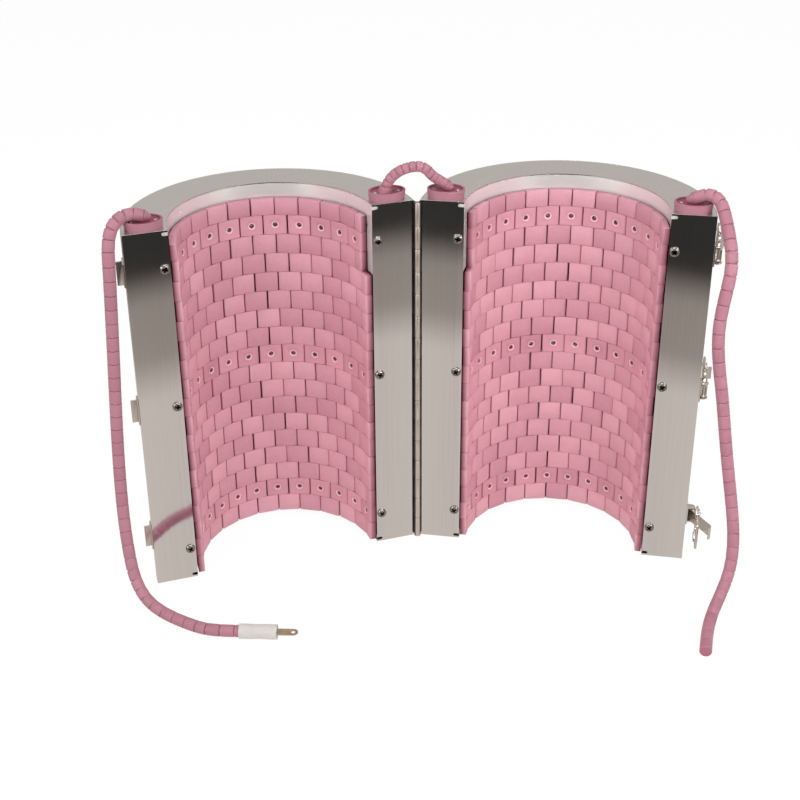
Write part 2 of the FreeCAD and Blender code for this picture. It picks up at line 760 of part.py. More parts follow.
def build():
    halves = (
        ("left", to_left, 0, upright_neck, upright_neck_tilt),
        ("right", to_right, 1, lying_neck, hinge_neck_tilt),
    )
    for side, place, first, hinge_neck, hinge_tilt in halves:
        plain, drilled, pins = pad()
        pieces = {
            "outer_shell": outer_shell(),
            "top_plate": end_plate(height - sheet, height, height - skirt_depth, bushing_places),
            "bottom_plate": end_plate(sheet, 0, skirt_depth, ()),
            "liner": liner(),
            "fibre_filling": wool(),
            "hinge_face_plate": face_plate(-1),
            "latch_face_plate": face_plate(1),
            "face_screws": face_screws(),
            "plain_tiles": plain,
            "drilled_tiles": drilled,
            "tie_pins": pins,
            "hinge_bushing": bushing(hinge_bushing_s, -1, hinge_neck, hinge_tilt),
            "latch_bushing": bushing(latch_bushing_s, 1, lying_neck, latch_neck_tilt),
            "cover_screws": cover_screws(),
            "power_wires": power_wires(),
            "hinge_leaf": hinge_leaf(first),
        }
        for name, shape in pieces.items():
            save(side + "_" + name, place(shape))
    save("hinge_pin", hinge_pin())
    for index, level in enumerate(("lower", "middle", "upper")):
        save(level + "_keeper", to_left(keeper(latch_heights[index])))
        base, lever, bail = latch(index)
        save(level + "_latch_base", to_right(base))
        save(level + "_latch_lever", to_right(lever))
        save(level + "_latch_bail", to_right(bail))
    save("latch_pins", to_right(Part.makeCompound([latch_pin(z) for z in latch_heights])))
    left_route = lead_route(left_lead_hanging, left_lead_floor, -1)
    right_route = lead_route(right_lead_hanging, right_lead_floor, 1)
    save("left_lead", tube(left_route, "left_lead"))
    save("right_lead", tube(right_route, "right_lead"))
    save("jumper", tube(jumper_route(), "jumper"))
    for name, shape in (("left_sleeve", sleeve()), ("left_terminal", terminal())):
        shape.Placement = along(left_route)
        save(name, shape)


build()
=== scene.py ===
import json
import math
import random

import bmesh
import bpy
from mathutils import Matrix, Vector


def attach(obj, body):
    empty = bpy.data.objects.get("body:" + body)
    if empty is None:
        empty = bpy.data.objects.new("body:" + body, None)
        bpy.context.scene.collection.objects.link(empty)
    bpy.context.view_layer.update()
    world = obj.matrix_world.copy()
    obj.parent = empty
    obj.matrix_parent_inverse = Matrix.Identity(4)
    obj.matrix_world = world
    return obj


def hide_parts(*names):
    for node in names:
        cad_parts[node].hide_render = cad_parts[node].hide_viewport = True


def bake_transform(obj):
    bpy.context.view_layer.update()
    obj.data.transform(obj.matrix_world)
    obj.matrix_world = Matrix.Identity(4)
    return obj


# Ceramic pad heater: two hinged steel halves lined with pink tiles, with beaded leads
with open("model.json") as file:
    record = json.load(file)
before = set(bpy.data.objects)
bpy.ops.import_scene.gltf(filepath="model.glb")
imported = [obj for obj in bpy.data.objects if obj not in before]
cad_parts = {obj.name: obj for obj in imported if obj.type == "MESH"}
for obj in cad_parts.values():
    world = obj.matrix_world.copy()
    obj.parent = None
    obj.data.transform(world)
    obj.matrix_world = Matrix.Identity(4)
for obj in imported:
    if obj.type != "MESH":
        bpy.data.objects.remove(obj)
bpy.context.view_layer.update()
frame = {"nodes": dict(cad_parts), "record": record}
cadNodes = frame["nodes"]
random.seed(11)
mm = 0.001
print("frame loaded,", len(cadNodes), "nodes")

bodyOf = {}
for bodyName, members in frame["record"]["behaviour"]["bodies"].items():
    for member in members:
        bodyOf[member] = bodyName

halfLayout = {  # both halves share it, turned about the hinge line and mirrored
    "turnDegrees": 14.3,
    "centreAlong": 118.9,
    "centreBack": 3.0,
    "height": 320.0,
    "outerRadius": 116.8,
    "boreRadius": 81.6,
}


def halfMatrix(side):  # from a half's own millimetres to the row frame
    turn = Matrix.Rotation(-math.radians(halfLayout["turnDegrees"]), 4, "Z")
    flip = Matrix.Diagonal((-1, 1, 1, 1)) if side == "left" else Matrix.Identity(4)
    return Matrix.Scale(mm, 4) @ flip @ turn


# Camera first
cameraSettings = {
    "place": (-0.09065, -1.06910, 0.71503),
    "target": (-0.01484, 0.00310, 0.13843),
    "roll": -0.0068,
    "lens": 63.72,
    "sensor": 36.0,
}


def addObject(name, data):
    made = bpy.data.objects.new(name, data)
    bpy.context.scene.collection.objects.link(made)
    return made


def addCamera(settings):
    data = bpy.data.cameras.new("photoCamera")
    data.lens = settings["lens"]
    data.sensor_width = settings["sensor"]
    camera = addObject("photoCamera", data)
    place = Vector(settings["place"])
    aim = (Vector(settings["target"]) - place).to_track_quat("-Z", "Y").to_matrix().to_4x4()
    camera.matrix_world = Matrix.Translation(place) @ aim @ Matrix.Rotation(settings["roll"], 4, "Z")
    bpy.context.scene.camera = camera


addCamera(cameraSettings)


# Shader nodes, where every input takes a plain value or another node's socket
def feed(tree, target, value):
    if hasattr(value, "links"):
        tree.links.new(value, target)
    else:
        target.default_value = value


def newNode(tree, kind, setup=(), **inputs):
    node = tree.nodes.new("ShaderNode" + kind)
    for name, value in dict(setup).items():
        setattr(node, name, value)
    for name, value in inputs.items():
        feed(tree, node.inputs[name.replace("_", " ")], value)
    return node


def calculate(tree, operation, *terms, kind="Math"):
    node = newNode(tree, kind, {"operation": operation})
    for target, term in zip(node.inputs, terms):
        feed(tree, target, term)
    return node.outputs[0]


def newGroup(name, inputs, outputs):
    group = bpy.data.node_groups.new(name, "ShaderNodeTree")
    for title, kind, value in inputs:
        socket = group.interface.new_socket(name=title, in_out="INPUT", socket_type="NodeSocket" + kind)
        if value is not None:
            socket.default_value = value
    for title in outputs:
        group.interface.new_socket(name=title, in_out="OUTPUT", socket_type="NodeSocketFloat")
    start, end = group.nodes.new("NodeGroupInput"), group.nodes.new("NodeGroupOutput")
    return group, start.outputs, end.inputs


noiseSettings = {
    "slowDetail": 4,
    "fineDetail": 3,
    "finerTimes": 9.0,
    "grainRange": (0.3, 0.7),
}


def mottleGroup():  # slow and fine noise together, for fired clay and handled metal
    group, given, result = newGroup(
        "mottle",
        [
            ("Vector", "Vector", None),
            ("Scale", "Float", 60.0),
            ("Fine Share", "Float", 0.4),
            ("Low", "Float", 0.3),
            ("High", "Float", 0.7),
        ],
        ["Mask", "Height"],
    )
    finer = calculate(group, "MULTIPLY", given["Scale"], noiseSettings["finerTimes"])
    slow, fine = (
        newNode(
            group, "TexNoise", Vector=given["Vector"], Scale=scale, Detail=noiseSettings[detail],
        ).outputs["Fac"]
        for scale, detail in ((given["Scale"], "slowDetail"), (finer, "fineDetail"))
    )
    blend = newNode(group, "Mix", Factor=given["Fine Share"], A=slow, B=fine).outputs["Result"]
    stretch = newNode(group, "MapRange", Value=blend, From_Min=given["Low"], From_Max=given["High"])
    feed(group, result["Mask"], stretch.outputs["Result"])
    feed(group, result["Height"], fine)
    return group


def grainGroup():  # long fine lines, as rolling and brushing leave in sheet steel
    group, given, result = newGroup(
        "sheetGrain",
        [("Vector", "Vector", None), ("Stretch", "Vector", (900.0, 900.0, 14.0))],
        ["Lines", "Height"],
    )
    scaled = calculate(group, "MULTIPLY", given["Vector"], given["Stretch"], kind="VectorMath")
    detail = noiseSettings["fineDetail"]
    noise = newNode(group, "TexNoise", Vector=scaled, Scale=1.0, Detail=detail).outputs["Fac"]
    low, high = noiseSettings["grainRange"]
    stretch = newNode(group, "MapRange", Value=noise, From_Min=low, From_Max=high)
    feed(group, result["Lines"], stretch.outputs["Result"])
    feed(group, result["Height"], noise)
    return group


def edgeGroup():  # where corners are rubbed, and painted shade that darkens hollow corners
    group, given, result = newGroup("edgeWearAndShade", [("Width", "Float", 0.06)], ["Rubbed", "Painted Hollow Shade"])
    shape = newNode(group, "NewGeometry").outputs["Pointiness"]
    for name, operation in (("Rubbed", "ADD"), ("Painted Hollow Shade", "SUBTRACT")):
        limit = calculate(group, operation, 0.5, given["Width"])
        ramp = newNode(group, "MapRange", Value=shape, From_Min=0.5, From_Max=limit)
        feed(group, result[name], ramp.outputs["Result"])
    return group


mottle, sheetGrain, edgeWearAndShade = mottleGroup(), grainGroup(), edgeGroup()


def useGroup(tree, group, **inputs):
    return newNode(tree, "Group", {"node_tree": group}, **inputs).outputs


def placeOnObject(tree):
    return newNode(tree, "TexCoord").outputs["Object"]


def attribute(tree, name):
    return newNode(tree, "Attribute", {"attribute_name": name}).outputs["Fac"]


def rangeOf(tree, value, low, high):
    return newNode(tree, "MapRange", Value=value, To_Min=low, To_Max=high).outputs["Result"]


def mixColours(tree, factor, first, second):
    mix = newNode(tree, "Mix", {"data_type": "RGBA"}, Factor=factor)
    colours = [socket for socket in mix.inputs if socket.type == "RGBA"]
    for target, value in zip(colours, (first, second)):
        feed(tree, target, value if hasattr(value, "links") else (*value, 1))
    return [socket for socket in mix.outputs if socket.type == "RGBA"][0]


def mixShaders(tree, *terms):  # share, first shader, second shader
    mix = newNode(tree, "MixShader")
    for target, value in zip(mix.inputs, terms):
        feed(tree, target, value)
    return mix.outputs["Shader"]


def startMaterial(name, **plain):
    material = bpy.data.materials.new(name)
    material.use_nodes = True
    shader = material.node_tree.nodes["Principled BSDF"]
    for socket, value in plain.items():
        shader.inputs[socket.replace("_", " ")].default_value = value
    return material, material.node_tree, shader


def closeShader(tree, shader, colour, rough, height, strength, distance):
    bump = newNode(tree, "Bump", Strength=strength, Distance=distance, Height=height).outputs["Normal"]
    for name, value in (("Base Color", colour), ("Roughness", rough), ("Normal", bump)):
        feed(tree, shader.inputs[name], value)


ceramicLooks = {
    "tilePink": {"pale": (0.77, 0.335, 0.41), "deep": (0.50, 0.14, 0.205), "rough": (0.45, 0.65)},
    "tileRose": {"pale": (0.72, 0.28, 0.355), "deep": (0.49, 0.135, 0.195), "rough": (0.45, 0.62)},
    "beadPink": {"pale": (0.48, 0.14, 0.215), "deep": (0.33, 0.07, 0.125), "rough": (0.38, 0.58)},
    "bushingPink": {"pale": (0.42, 0.11, 0.175), "deep": (0.30, 0.06, 0.11), "rough": (0.40, 0.60)},
    "pinClay": {"pale": (0.42, 0.16, 0.20), "deep": (0.20, 0.07, 0.09), "rough": (0.6, 0.8)},
}


ceramicWearAndShade = {
    "cloudScale": 45.0,
    "fineShare": 0.45,
    "edgeWidth": 0.05,
    "cloudShare": 0.35,
    "rubbed": 0.4,
    "hollowShade": 0.55,
    "dustMix": (0.6, 0.27),
    "hollowShadeDarkness": 0.35,
    "jointShadeTone": (0.17, 0.026, 0.048),
    "wornTone": (0.86, 0.60, 0.64),
    "bump": (0.25, 0.0003),
}


def ceramicMaterial(name, look):
    material, tree, shader = startMaterial(name, Specular_IOR_Level=0.35)
    clouds = useGroup(
        tree, mottle, Vector=placeOnObject(tree), Scale=ceramicWearAndShade["cloudScale"],
        Fine_Share=ceramicWearAndShade["fineShare"],
    )
    edges = useGroup(tree, edgeWearAndShade, Width=ceramicWearAndShade["edgeWidth"])
    tone = attribute(tree, "tone")
    share = calculate(tree, "MULTIPLY_ADD", clouds["Mask"], ceramicWearAndShade["cloudShare"], tone)
    colour = mixColours(tree, share, look["pale"], look["deep"])
    dusty = tuple(ceramicWearAndShade["dustMix"][0] * c + ceramicWearAndShade["dustMix"][1] for c in look["pale"])
    # painted shade: hollow corners take the deep colour, darkened
    hollowShadeColour = tuple(ceramicWearAndShade["hollowShadeDarkness"] * c for c in look["deep"])
    for factor, second in (
        (rangeOf(tree, edges["Rubbed"], 0.0, ceramicWearAndShade["rubbed"]), dusty),
        (rangeOf(tree, edges["Painted Hollow Shade"], 0.0, ceramicWearAndShade["hollowShade"]), hollowShadeColour),
        # painted shade in the tile joints, screw recesses and knuckle flanks
        (attribute(tree, "paintedShade"), ceramicWearAndShade["jointShadeTone"]),
        (attribute(tree, "worn"), ceramicWearAndShade["wornTone"]),
    ):
        colour = mixColours(tree, factor, colour, second)
    rough = rangeOf(tree, clouds["Mask"], *look["rough"])
    closeShader(tree, shader, colour, rough, clouds["Height"], *ceramicWearAndShade["bump"])
    return material


steelLooks = {
    "flangeSteel": {"pale": (0.73, 0.72, 0.73), "deep": (0.67, 0.66, 0.665), "rough": (0.05, 0.10),
                    "stretch": (900.0, 900.0, 12.0), "bump": 0.05},
    "shellSteel": {"pale": (0.74, 0.72, 0.70), "deep": (0.66, 0.64, 0.62), "rough": (0.22, 0.34),
                   "stretch": (60.0, 60.0, 1400.0), "bump": 0.12},
    "topSteel": {"pale": (0.72, 0.70, 0.68), "deep": (0.64, 0.62, 0.60), "rough": (0.24, 0.36),
                 "stretch": (40.0, 1300.0, 1300.0), "bump": 0.12},
    "linerSteel": {"pale": (0.92, 0.91, 0.88), "deep": (0.84, 0.82, 0.79), "rough": (0.20, 0.32),
                   "stretch": (60.0, 60.0, 1200.0), "bump": 0.05, "metal": 0.45, "shadedBelow": 0.3065,
                   "clearBeyond": 0.0405, "clearAbove": 0.2595, "edge": 0.0005,
                   "behindPadShadeTone": (0.10, 0.022, 0.035)},
    "hingeSteel": {"pale": (0.80, 0.74, 0.68), "deep": (0.40, 0.36, 0.32), "rough": (0.30, 0.42),
                   "stretch": (1500.0, 1500.0, 60.0), "bump": 0.3},
    "screwSteel": {"pale": (0.38, 0.36, 0.32), "deep": (0.09, 0.085, 0.075), "rough": (0.12, 0.26),
                   "stretch": (1300.0, 1300.0, 1300.0), "bump": 0.6},
    "latchSteel": {"pale": (0.70, 0.66, 0.62), "deep": (0.56, 0.52, 0.48), "rough": (0.16, 0.30),
                   "stretch": (900.0, 900.0, 30.0), "bump": 0.08},
    "wireSteel": {"pale": (0.45, 0.42, 0.38), "deep": (0.30, 0.28, 0.25), "rough": (0.30, 0.45),
                  "stretch": (500.0, 500.0, 500.0), "bump": 0.1},
    "terminalBrass": {"pale": (0.58, 0.66, 0.46), "deep": (0.34, 0.38, 0.24), "rough": (0.34, 0.5),
                      "stretch": (300.0, 900.0, 900.0), "bump": 0.08},
}


def paintedShadeBehindPad(tree, place, look):  # painted shade on the bore sheet where the pad covers it, seen through the tile joints, left off above a height beside the hinge
    parts = newNode(tree, "SeparateXYZ", Vector=place).outputs
    across = calculate(tree, "ABSOLUTE", parts["X"])
    belowPad, belowShort, besideHinge = (
        newNode(
            tree, "MapRange", Value=source, From_Min=start, From_Max=start + look["edge"], To_Min=1.0,
            To_Max=0.0,
        ).outputs["Result"]
        for source, start in (
            (parts["Z"], look["shadedBelow"]),
            (parts["Z"], look["clearAbove"]),
            (across, look["clearBeyond"]),
        )
    )
    either = calculate(tree, "MAXIMUM", belowShort, rangeOf(tree, besideHinge, 1.0, 0.0))
    return calculate(tree, "MULTIPLY", belowPad, either)


steelWearAndShade = {
    "smudgeScale": 14.0,
    "fineShare": 0.25,
    "edgeWidth": 0.08,
    "rubbed": 0.6,
    "brighter": 1.12,
    "paintedShadeShare": 0.06,
    "bumpDistance": 0.0002,
}


def steelMaterial(name, look):
    material, tree, shader = startMaterial(name, Metallic=look.get("metal", 1.0))
    place = placeOnObject(tree)
    grain = useGroup(tree, sheetGrain, Vector=place, Stretch=look["stretch"])
    smudge = useGroup(
        tree, mottle, Vector=place, Scale=steelWearAndShade["smudgeScale"], Fine_Share=steelWearAndShade["fineShare"],
    )
    edges = useGroup(tree, edgeWearAndShade, Width=steelWearAndShade["edgeWidth"])
    colour = mixColours(tree, grain["Lines"], look["pale"], look["deep"])
    bright = tuple(min(1.0, steelWearAndShade["brighter"] * c) for c in look["pale"])
    colour = mixColours(tree, rangeOf(tree, edges["Rubbed"], 0.0, steelWearAndShade["rubbed"]), colour, bright)
    # painted shade in screw recesses, on knuckle flanks and on the hinge leaf's back
    paintedShadeColour = tuple(steelWearAndShade["paintedShadeShare"] * c for c in look["deep"])
    colour = mixColours(tree, attribute(tree, "paintedShade"), colour, paintedShadeColour)
    # painted shade on the liner behind the tiles
    if "shadedBelow" in look:
        colour = mixColours(tree, paintedShadeBehindPad(tree, place, look), colour, look["behindPadShadeTone"])
    rough = rangeOf(tree, smudge["Mask"], *look["rough"])
    closeShader(tree, shader, colour, rough, grain["Height"], look["bump"], steelWearAndShade["bumpDistance"])
    return material


woolLook = {
    "pale": (0.86, 0.85, 0.81),
    "deep": (0.66, 0.63, 0.58),
    "rough": (0.85, 1.0),
    "scale": 160.0,
    "bump": (0.8, 0.001),
}


def fibreMaterial():  # packed ceramic wool, seen only through gaps
    material, tree, shader = startMaterial("packedWool", Specular_IOR_Level=0.1)
    tufts = useGroup(tree, mottle, Vector=placeOnObject(tree), Scale=woolLook["scale"], Fine_Share=0.6)
    colour = mixColours(tree, tufts["Mask"], woolLook["pale"], woolLook["deep"])
    rough = rangeOf(tree, tufts["Mask"], *woolLook["rough"])
    closeShader(tree, shader, colour, rough, tufts["Height"], *woolLook["bump"])
    return material


sleeveLook = {
    "pale": (0.86, 0.85, 0.82),
    "deep": (0.50, 0.47, 0.44),
    "soil": (0.66, 0.56, 0.50),
    "soilShare": 0.35,
    "soilScale": 70.0,
    "strandSlant": 48,
    "strandScale": 7.0,
    "unevenness": 0.6,
    "bump": (0.6, 0.0004),
}


def sleeveMaterial():  # braided glass sleeve: two crossing sets of slanted strands
    material, tree, shader = startMaterial("glassSleeve", Specular_IOR_Level=0.25, Sheen_Weight=0.3)
    uv = newNode(tree, "UVMap").outputs["UV"]
    waves = []
    for way in (1, -1):
        slant = (0, 0, way * math.radians(sleeveLook["strandSlant"]))
        turned = newNode(tree, "Mapping", Vector=uv, Rotation=slant).outputs["Vector"]
        wave = newNode(
            tree, "TexWave", Vector=turned, Scale=sleeveLook["strandScale"],
            Distortion=sleeveLook["unevenness"],
        )
        waves.append(wave.outputs["Fac"])
    strand = calculate(tree, "MAXIMUM", *waves)
    soil = useGroup(tree, mottle, Vector=placeOnObject(tree), Scale=sleeveLook["soilScale"], Fine_Share=0.3)
    colour = mixColours(tree, strand, sleeveLook["deep"], sleeveLook["pale"])
    faint = rangeOf(tree, soil["Mask"], 0.0, sleeveLook["soilShare"])
    colour = mixColours(tree, faint, colour, sleeveLook["soil"])
    closeShader(tree, shader, colour, rangeOf(tree, strand, 0.9, 0.7), strand, *sleeveLook["bump"])
    return material


finish = {name: ceramicMaterial(name, look) for name, look in ceramicLooks.items()}
finish.update({name: steelMaterial(name, look) for name, look in steelLooks.items()})
finish["packedWool"] = fibreMaterial()
finish["glassSleeve"] = sleeveMaterial()
print("materials ready,", len(finish))


# Turning a bmesh into a finished piece
def makePiece(name, bm, material, body, stands=(), sharp=40, recalc=True):
    if recalc:
        bmesh.ops.recalc_face_normals(bm, faces=bm.faces)
    mesh = bpy.data.meshes.new(name)
    bm.to_mesh(mesh)
    bm.free()
    mesh.shade_smooth()
    mesh.set_sharp_from_angle(angle=math.radians(sharp))
    mesh.materials.append(finish[material])
    piece = addObject(name, mesh)
    if body:
        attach(piece, body)
    if stands:
        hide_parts(*stands)
    return piece


def meshCopy(bm, mesh, matrix, tone=None):  # adds a turned copy of a mesh, with its own tone
    before = len(bm.verts)
    placed = mesh.copy()
    placed.transform(matrix)
    bm.from_mesh(placed)
    bpy.data.meshes.remove(placed)
    if tone is not None:
        layer = bm.verts.layers.float.get("tone") or bm.verts.layers.float.new("tone")
        bm.verts.ensure_lookup_table()
        for vert in bm.verts[before:]:
            vert[layer] = tone


def settled(bm, name, cutters=()):  # the mesh of a bmesh, after cutting other shapes out of it
    mesh = bpy.data.meshes.new(name)
    bm.to_mesh(mesh)
    bm.free()
    if not cutters:
        return mesh
    blank = addObject(name, mesh)
    tools = []
    for cutter in cutters:
        tool = addObject(name + "Cutter", cutter)
        cut = blank.modifiers.new("cut", "BOOLEAN")
        cut.operation = "DIFFERENCE"
        cut.solver = "EXACT"
        cut.object = tool
        tools.append(tool)
    bpy.context.view_layer.update()
    result = bpy.data.meshes.new_from_object(blank.evaluated_get(bpy.context.evaluated_depsgraph_get()))
    for extra in [blank, *tools]:
        bpy.data.objects.remove(extra)
    return result


def cadCopy(node, flat=0.3):  # a merged copy of a CAD node, with its flat faces whole again
    bm = bmesh.new()
    bm.from_mesh(cadNodes[node].data)
    bmesh.ops.remove_doubles(bm, verts=bm.verts, dist=3e-6)
    bmesh.ops.dissolve_limit(bm, angle_limit=math.radians(flat), verts=bm.verts, edges=bm.edges)
    return bm


def dressed(node, material, slot, width=0.15, sharp=50):  # a CAD node with broken edges and smooth curves
    piece = makePiece(node + "_finished", cadCopy(node), material, bodyOf[node], [node], sharp, False)
    rounding = piece.modifiers.new("brokenEdges", "BEVEL")
    rounding.width = width * mm
    rounding.segments = 2
    rounding.limit_method = "ANGLE"
    rounding.angle_limit = math.radians(sharp)
    rounding.harden_normals = True
    return piece

# Shared shaping steps
def sharpEdges(bm):
    return [e for e in bm.edges if e.calc_face_angle(0) > math.radians(50)]


def rounded(bm, edges, offset, segments):
    bmesh.ops.bevel(
        bm, geom=edges, offset=offset, segments=segments, profile=0.5, affect="EDGES", material=-1,
    )


def rod(bm, radius, long, segments):
    return bmesh.ops.create_cone(
        bm, cap_ends=True, segments=segments, radius1=radius, radius2=radius, depth=long,
    )["verts"]


def moved(bm, matrix):
    bmesh.ops.transform(bm, verts=bm.verts, matrix=matrix)


def topFace(bm):
    return max(bm.faces, key=lambda f: f.calc_center_median().z)


def pushed(bm, face, up, keep=False):  # extrudes a face upwards, and leaves none inside unless it is kept
    grown = bmesh.ops.extrude_face_region(bm, geom=[face])
    if not keep:
        bmesh.ops.delete(bm, geom=[face], context="FACES_ONLY")
    verts = [g for g in grown["geom"] if isinstance(g, bmesh.types.BMVert)]
    bmesh.ops.translate(bm, verts=verts, vec=(0, 0, up))
    return verts


def spun(outline, axis, steps):  # a full turn of an outline in the XZ plane
    bm = bmesh.new()
    verts = [bm.verts.new((x, 0, z)) for x, z in outline]
    edges = [bm.edges.new(pair) for pair in zip(verts, verts[1:])]
    bmesh.ops.spin(
        bm, geom=verts + edges, cent=(0, 0, 0), axis=axis, dvec=(0, 0, 0), angle=2 * math.pi, steps=steps,
        use_merge=True,
    )
    bmesh.ops.remove_doubles(bm, verts=bm.verts, dist=1e-4)
    return bm


def curveMesh(kind, places, **settings):  # the mesh that a curve along the places makes
    data = bpy.data.curves.new("line", "CURVE")
    data.dimensions = "3D"
    for name, value in settings.items():
        setattr(data, name, value)
    spline = data.splines.new(kind)
    spline.points.add(len(places) - 1)
    for point, place in zip(spline.points, places):
        point.co = (*place, 1)
    if kind == "NURBS":
        spline.order_u = 3
        spline.use_endpoint_u = True
    line = addObject("line", data)
    bpy.context.view_layer.update()
    mesh = bpy.data.meshes.new_from_object(line.evaluated_get(bpy.context.evaluated_depsgraph_get()))
    bpy.data.objects.remove(line)
    return mesh


def tubeMesh(points, radius):
    return curveMesh("POLY", points, bevel_depth=radius, bevel_resolution=2, use_fill_caps=True)
# Ceramic pad
tileLayout = {
    "rows": 18,
    "tilesInHalfTurn": 12,
    "padBottom": 3.0,
    "rowPitch": 17.1,
    "thickness": 5.4,
    "sideGap": 0.8,
    "linerGap": 0.3,
    "drilledRows": (2, 9, 17),
    "facingRounding": 1.5,
    "farRounding": 0.35,
    "edgeRounding": 0.22,
    "visualRowGap": 0.26,
    "holeRadius": 2.1,
    "sinkRadius": 3.1,
    "sinkDepth": 0.4,
    "pinRadius": 1.5,
    "pinRecess": 2.4,
    "pinRounding": 0.35,
    "drillLift": 0.05,
    "jointShadeStart": 0.5,
    "jointShadeDepth": 2.2,
    "leanDegrees": 1.1,
    "standProud": 0.35,
    "looseAside": 0.32,
    "shortRows": 3,
    "topTrim": 3.0,
    "openTopShadeShare": 0.3,
    "tones": (-0.15, 0.75),
    "topPaler": 0.2,
    "pinTones": (0.2, 0.9),
}
tileTurn = math.pi / tileLayout["tilesInHalfTurn"]
tileBack = (halfLayout["boreRadius"] - tileLayout["linerGap"]) * math.cos(tileTurn / 2)
tileFront = tileBack - tileLayout["thickness"]


def markJointShadeAndWear(mesh, openTop):  # marks painted shade, darker deeper in the joints and weaker at the open top, and the worn rim of a hole
    paintedShade = mesh.attributes.new("paintedShade", "FLOAT", "POINT")
    top = max(vert.co.z for vert in mesh.vertices) - 0.01
    for vert, mark in zip(mesh.vertices, paintedShade.data):
        deep = (vert.co.x - tileFront - tileLayout["jointShadeStart"]) / tileLayout["jointShadeDepth"]
        share = tileLayout["openTopShadeShare"] if openTop and vert.co.z > top else 1.0
        mark.value = share * min(1.0, max(0.0, deep))
    worn = mesh.attributes.new("worn", "FLOAT", "FACE")
    for face, mark in zip(mesh.polygons, worn.data):
        isRim = face.center.yz.length < tileLayout["sinkRadius"] and abs(face.normal.x) < 0.98
        mark.value = 1.0 if isRim and face.center.x < tileFront + tileLayout["sinkDepth"] else 0.0
    return mesh


def tileBlank(share, drilled, facing, openTop=False):  # front facing -X, round its row's middle height
    halves = [
        share * reach * math.tan(tileTurn / 2) - tileLayout["sideGap"] / 2 for reach in (tileFront, tileBack)
    ]
    bm = bmesh.new()
    bmesh.ops.create_cube(bm, size=1)
    tall = tileLayout["rowPitch"] - tileLayout["visualRowGap"]
    trim = tileLayout["topTrim"] if openTop else 0.0
    for vert in bm.verts:
        half = halves[1] if vert.co.x > 0 else halves[0]
        up = vert.co.z * tall - (trim if vert.co.z > 0 else 0.0)
        vert.co = (tileBack if vert.co.x > 0 else tileFront, 2 * vert.co.y * half, up)
    front = [e for e in bm.edges if all(v.co.x < tileBack - 1 for v in e.verts)]
    upright = [e for e in front if abs(e.verts[0].co.z - e.verts[1].co.z) > 1]
    for rounding, way in (("facingRounding", facing), ("farRounding", -facing)):
        side = [e for e in upright if e.is_valid and e.verts[0].co.y * way > 0]
        rounded(bm, side, tileLayout[rounding], 3)
    rounded(bm, sharpEdges(bm), tileLayout["edgeRounding"], 1)
    if not drilled:
        return markJointShadeAndWear(settled(bm, "tileBlank"), openTop)
    drill = bmesh.new()
    lift = tileLayout["drillLift"]
    slope = (tileLayout["sinkRadius"] - tileLayout["holeRadius"]) / tileLayout["sinkDepth"]
    made = bmesh.ops.create_cone(
        drill, cap_ends=True, segments=18, radius1=tileLayout["sinkRadius"] + slope * lift,
        radius2=tileLayout["holeRadius"], depth=tileLayout["sinkDepth"] + lift,
    )
    bmesh.ops.translate(drill, verts=made["verts"], vec=(0, 0, (tileLayout["sinkDepth"] - lift) / 2))
    pushed(drill, topFace(drill), tileLayout["thickness"])
    moved(drill, Matrix.Translation((tileFront, 0, 0)) @ Matrix.Rotation(math.pi / 2, 4, "Y"))
    bmesh.ops.recalc_face_normals(drill, faces=drill.faces)
    return markJointShadeAndWear(settled(bm, "drilledBlank", [settled(drill, "drill")]), False)


def pinBlank():  # end of a tie pin at the bottom of its hole
    bm = bmesh.new()
    start = tileFront + tileLayout["pinRecess"]
    rod(bm, tileLayout["pinRadius"], tileBack - start, 14)
    rounded(bm, sharpEdges(bm), tileLayout["pinRounding"], 2)
    moved(bm, Matrix.Translation(((start + tileBack) / 2, 0, 0)) @ Matrix.Rotation(math.pi / 2, 4, "Y"))
    return settled(bm, "pinBlank")


def rowAngles(row):
    isShort = row <= tileLayout["shortRows"]
    count = tileLayout["tilesInHalfTurn"]
    if row % 2:
        whole = [((i + 0.5) * tileTurn, 1.0) for i in range(count - isShort)]
        return whole + [(math.pi - 0.75 * tileTurn, 0.5)] * isShort
    whole = [(i * tileTurn, 1.0) for i in range(1, count)]
    return whole + [(tileTurn / 4, 0.5)] + [(math.pi - tileTurn / 4, 0.5)] * (not isShort)


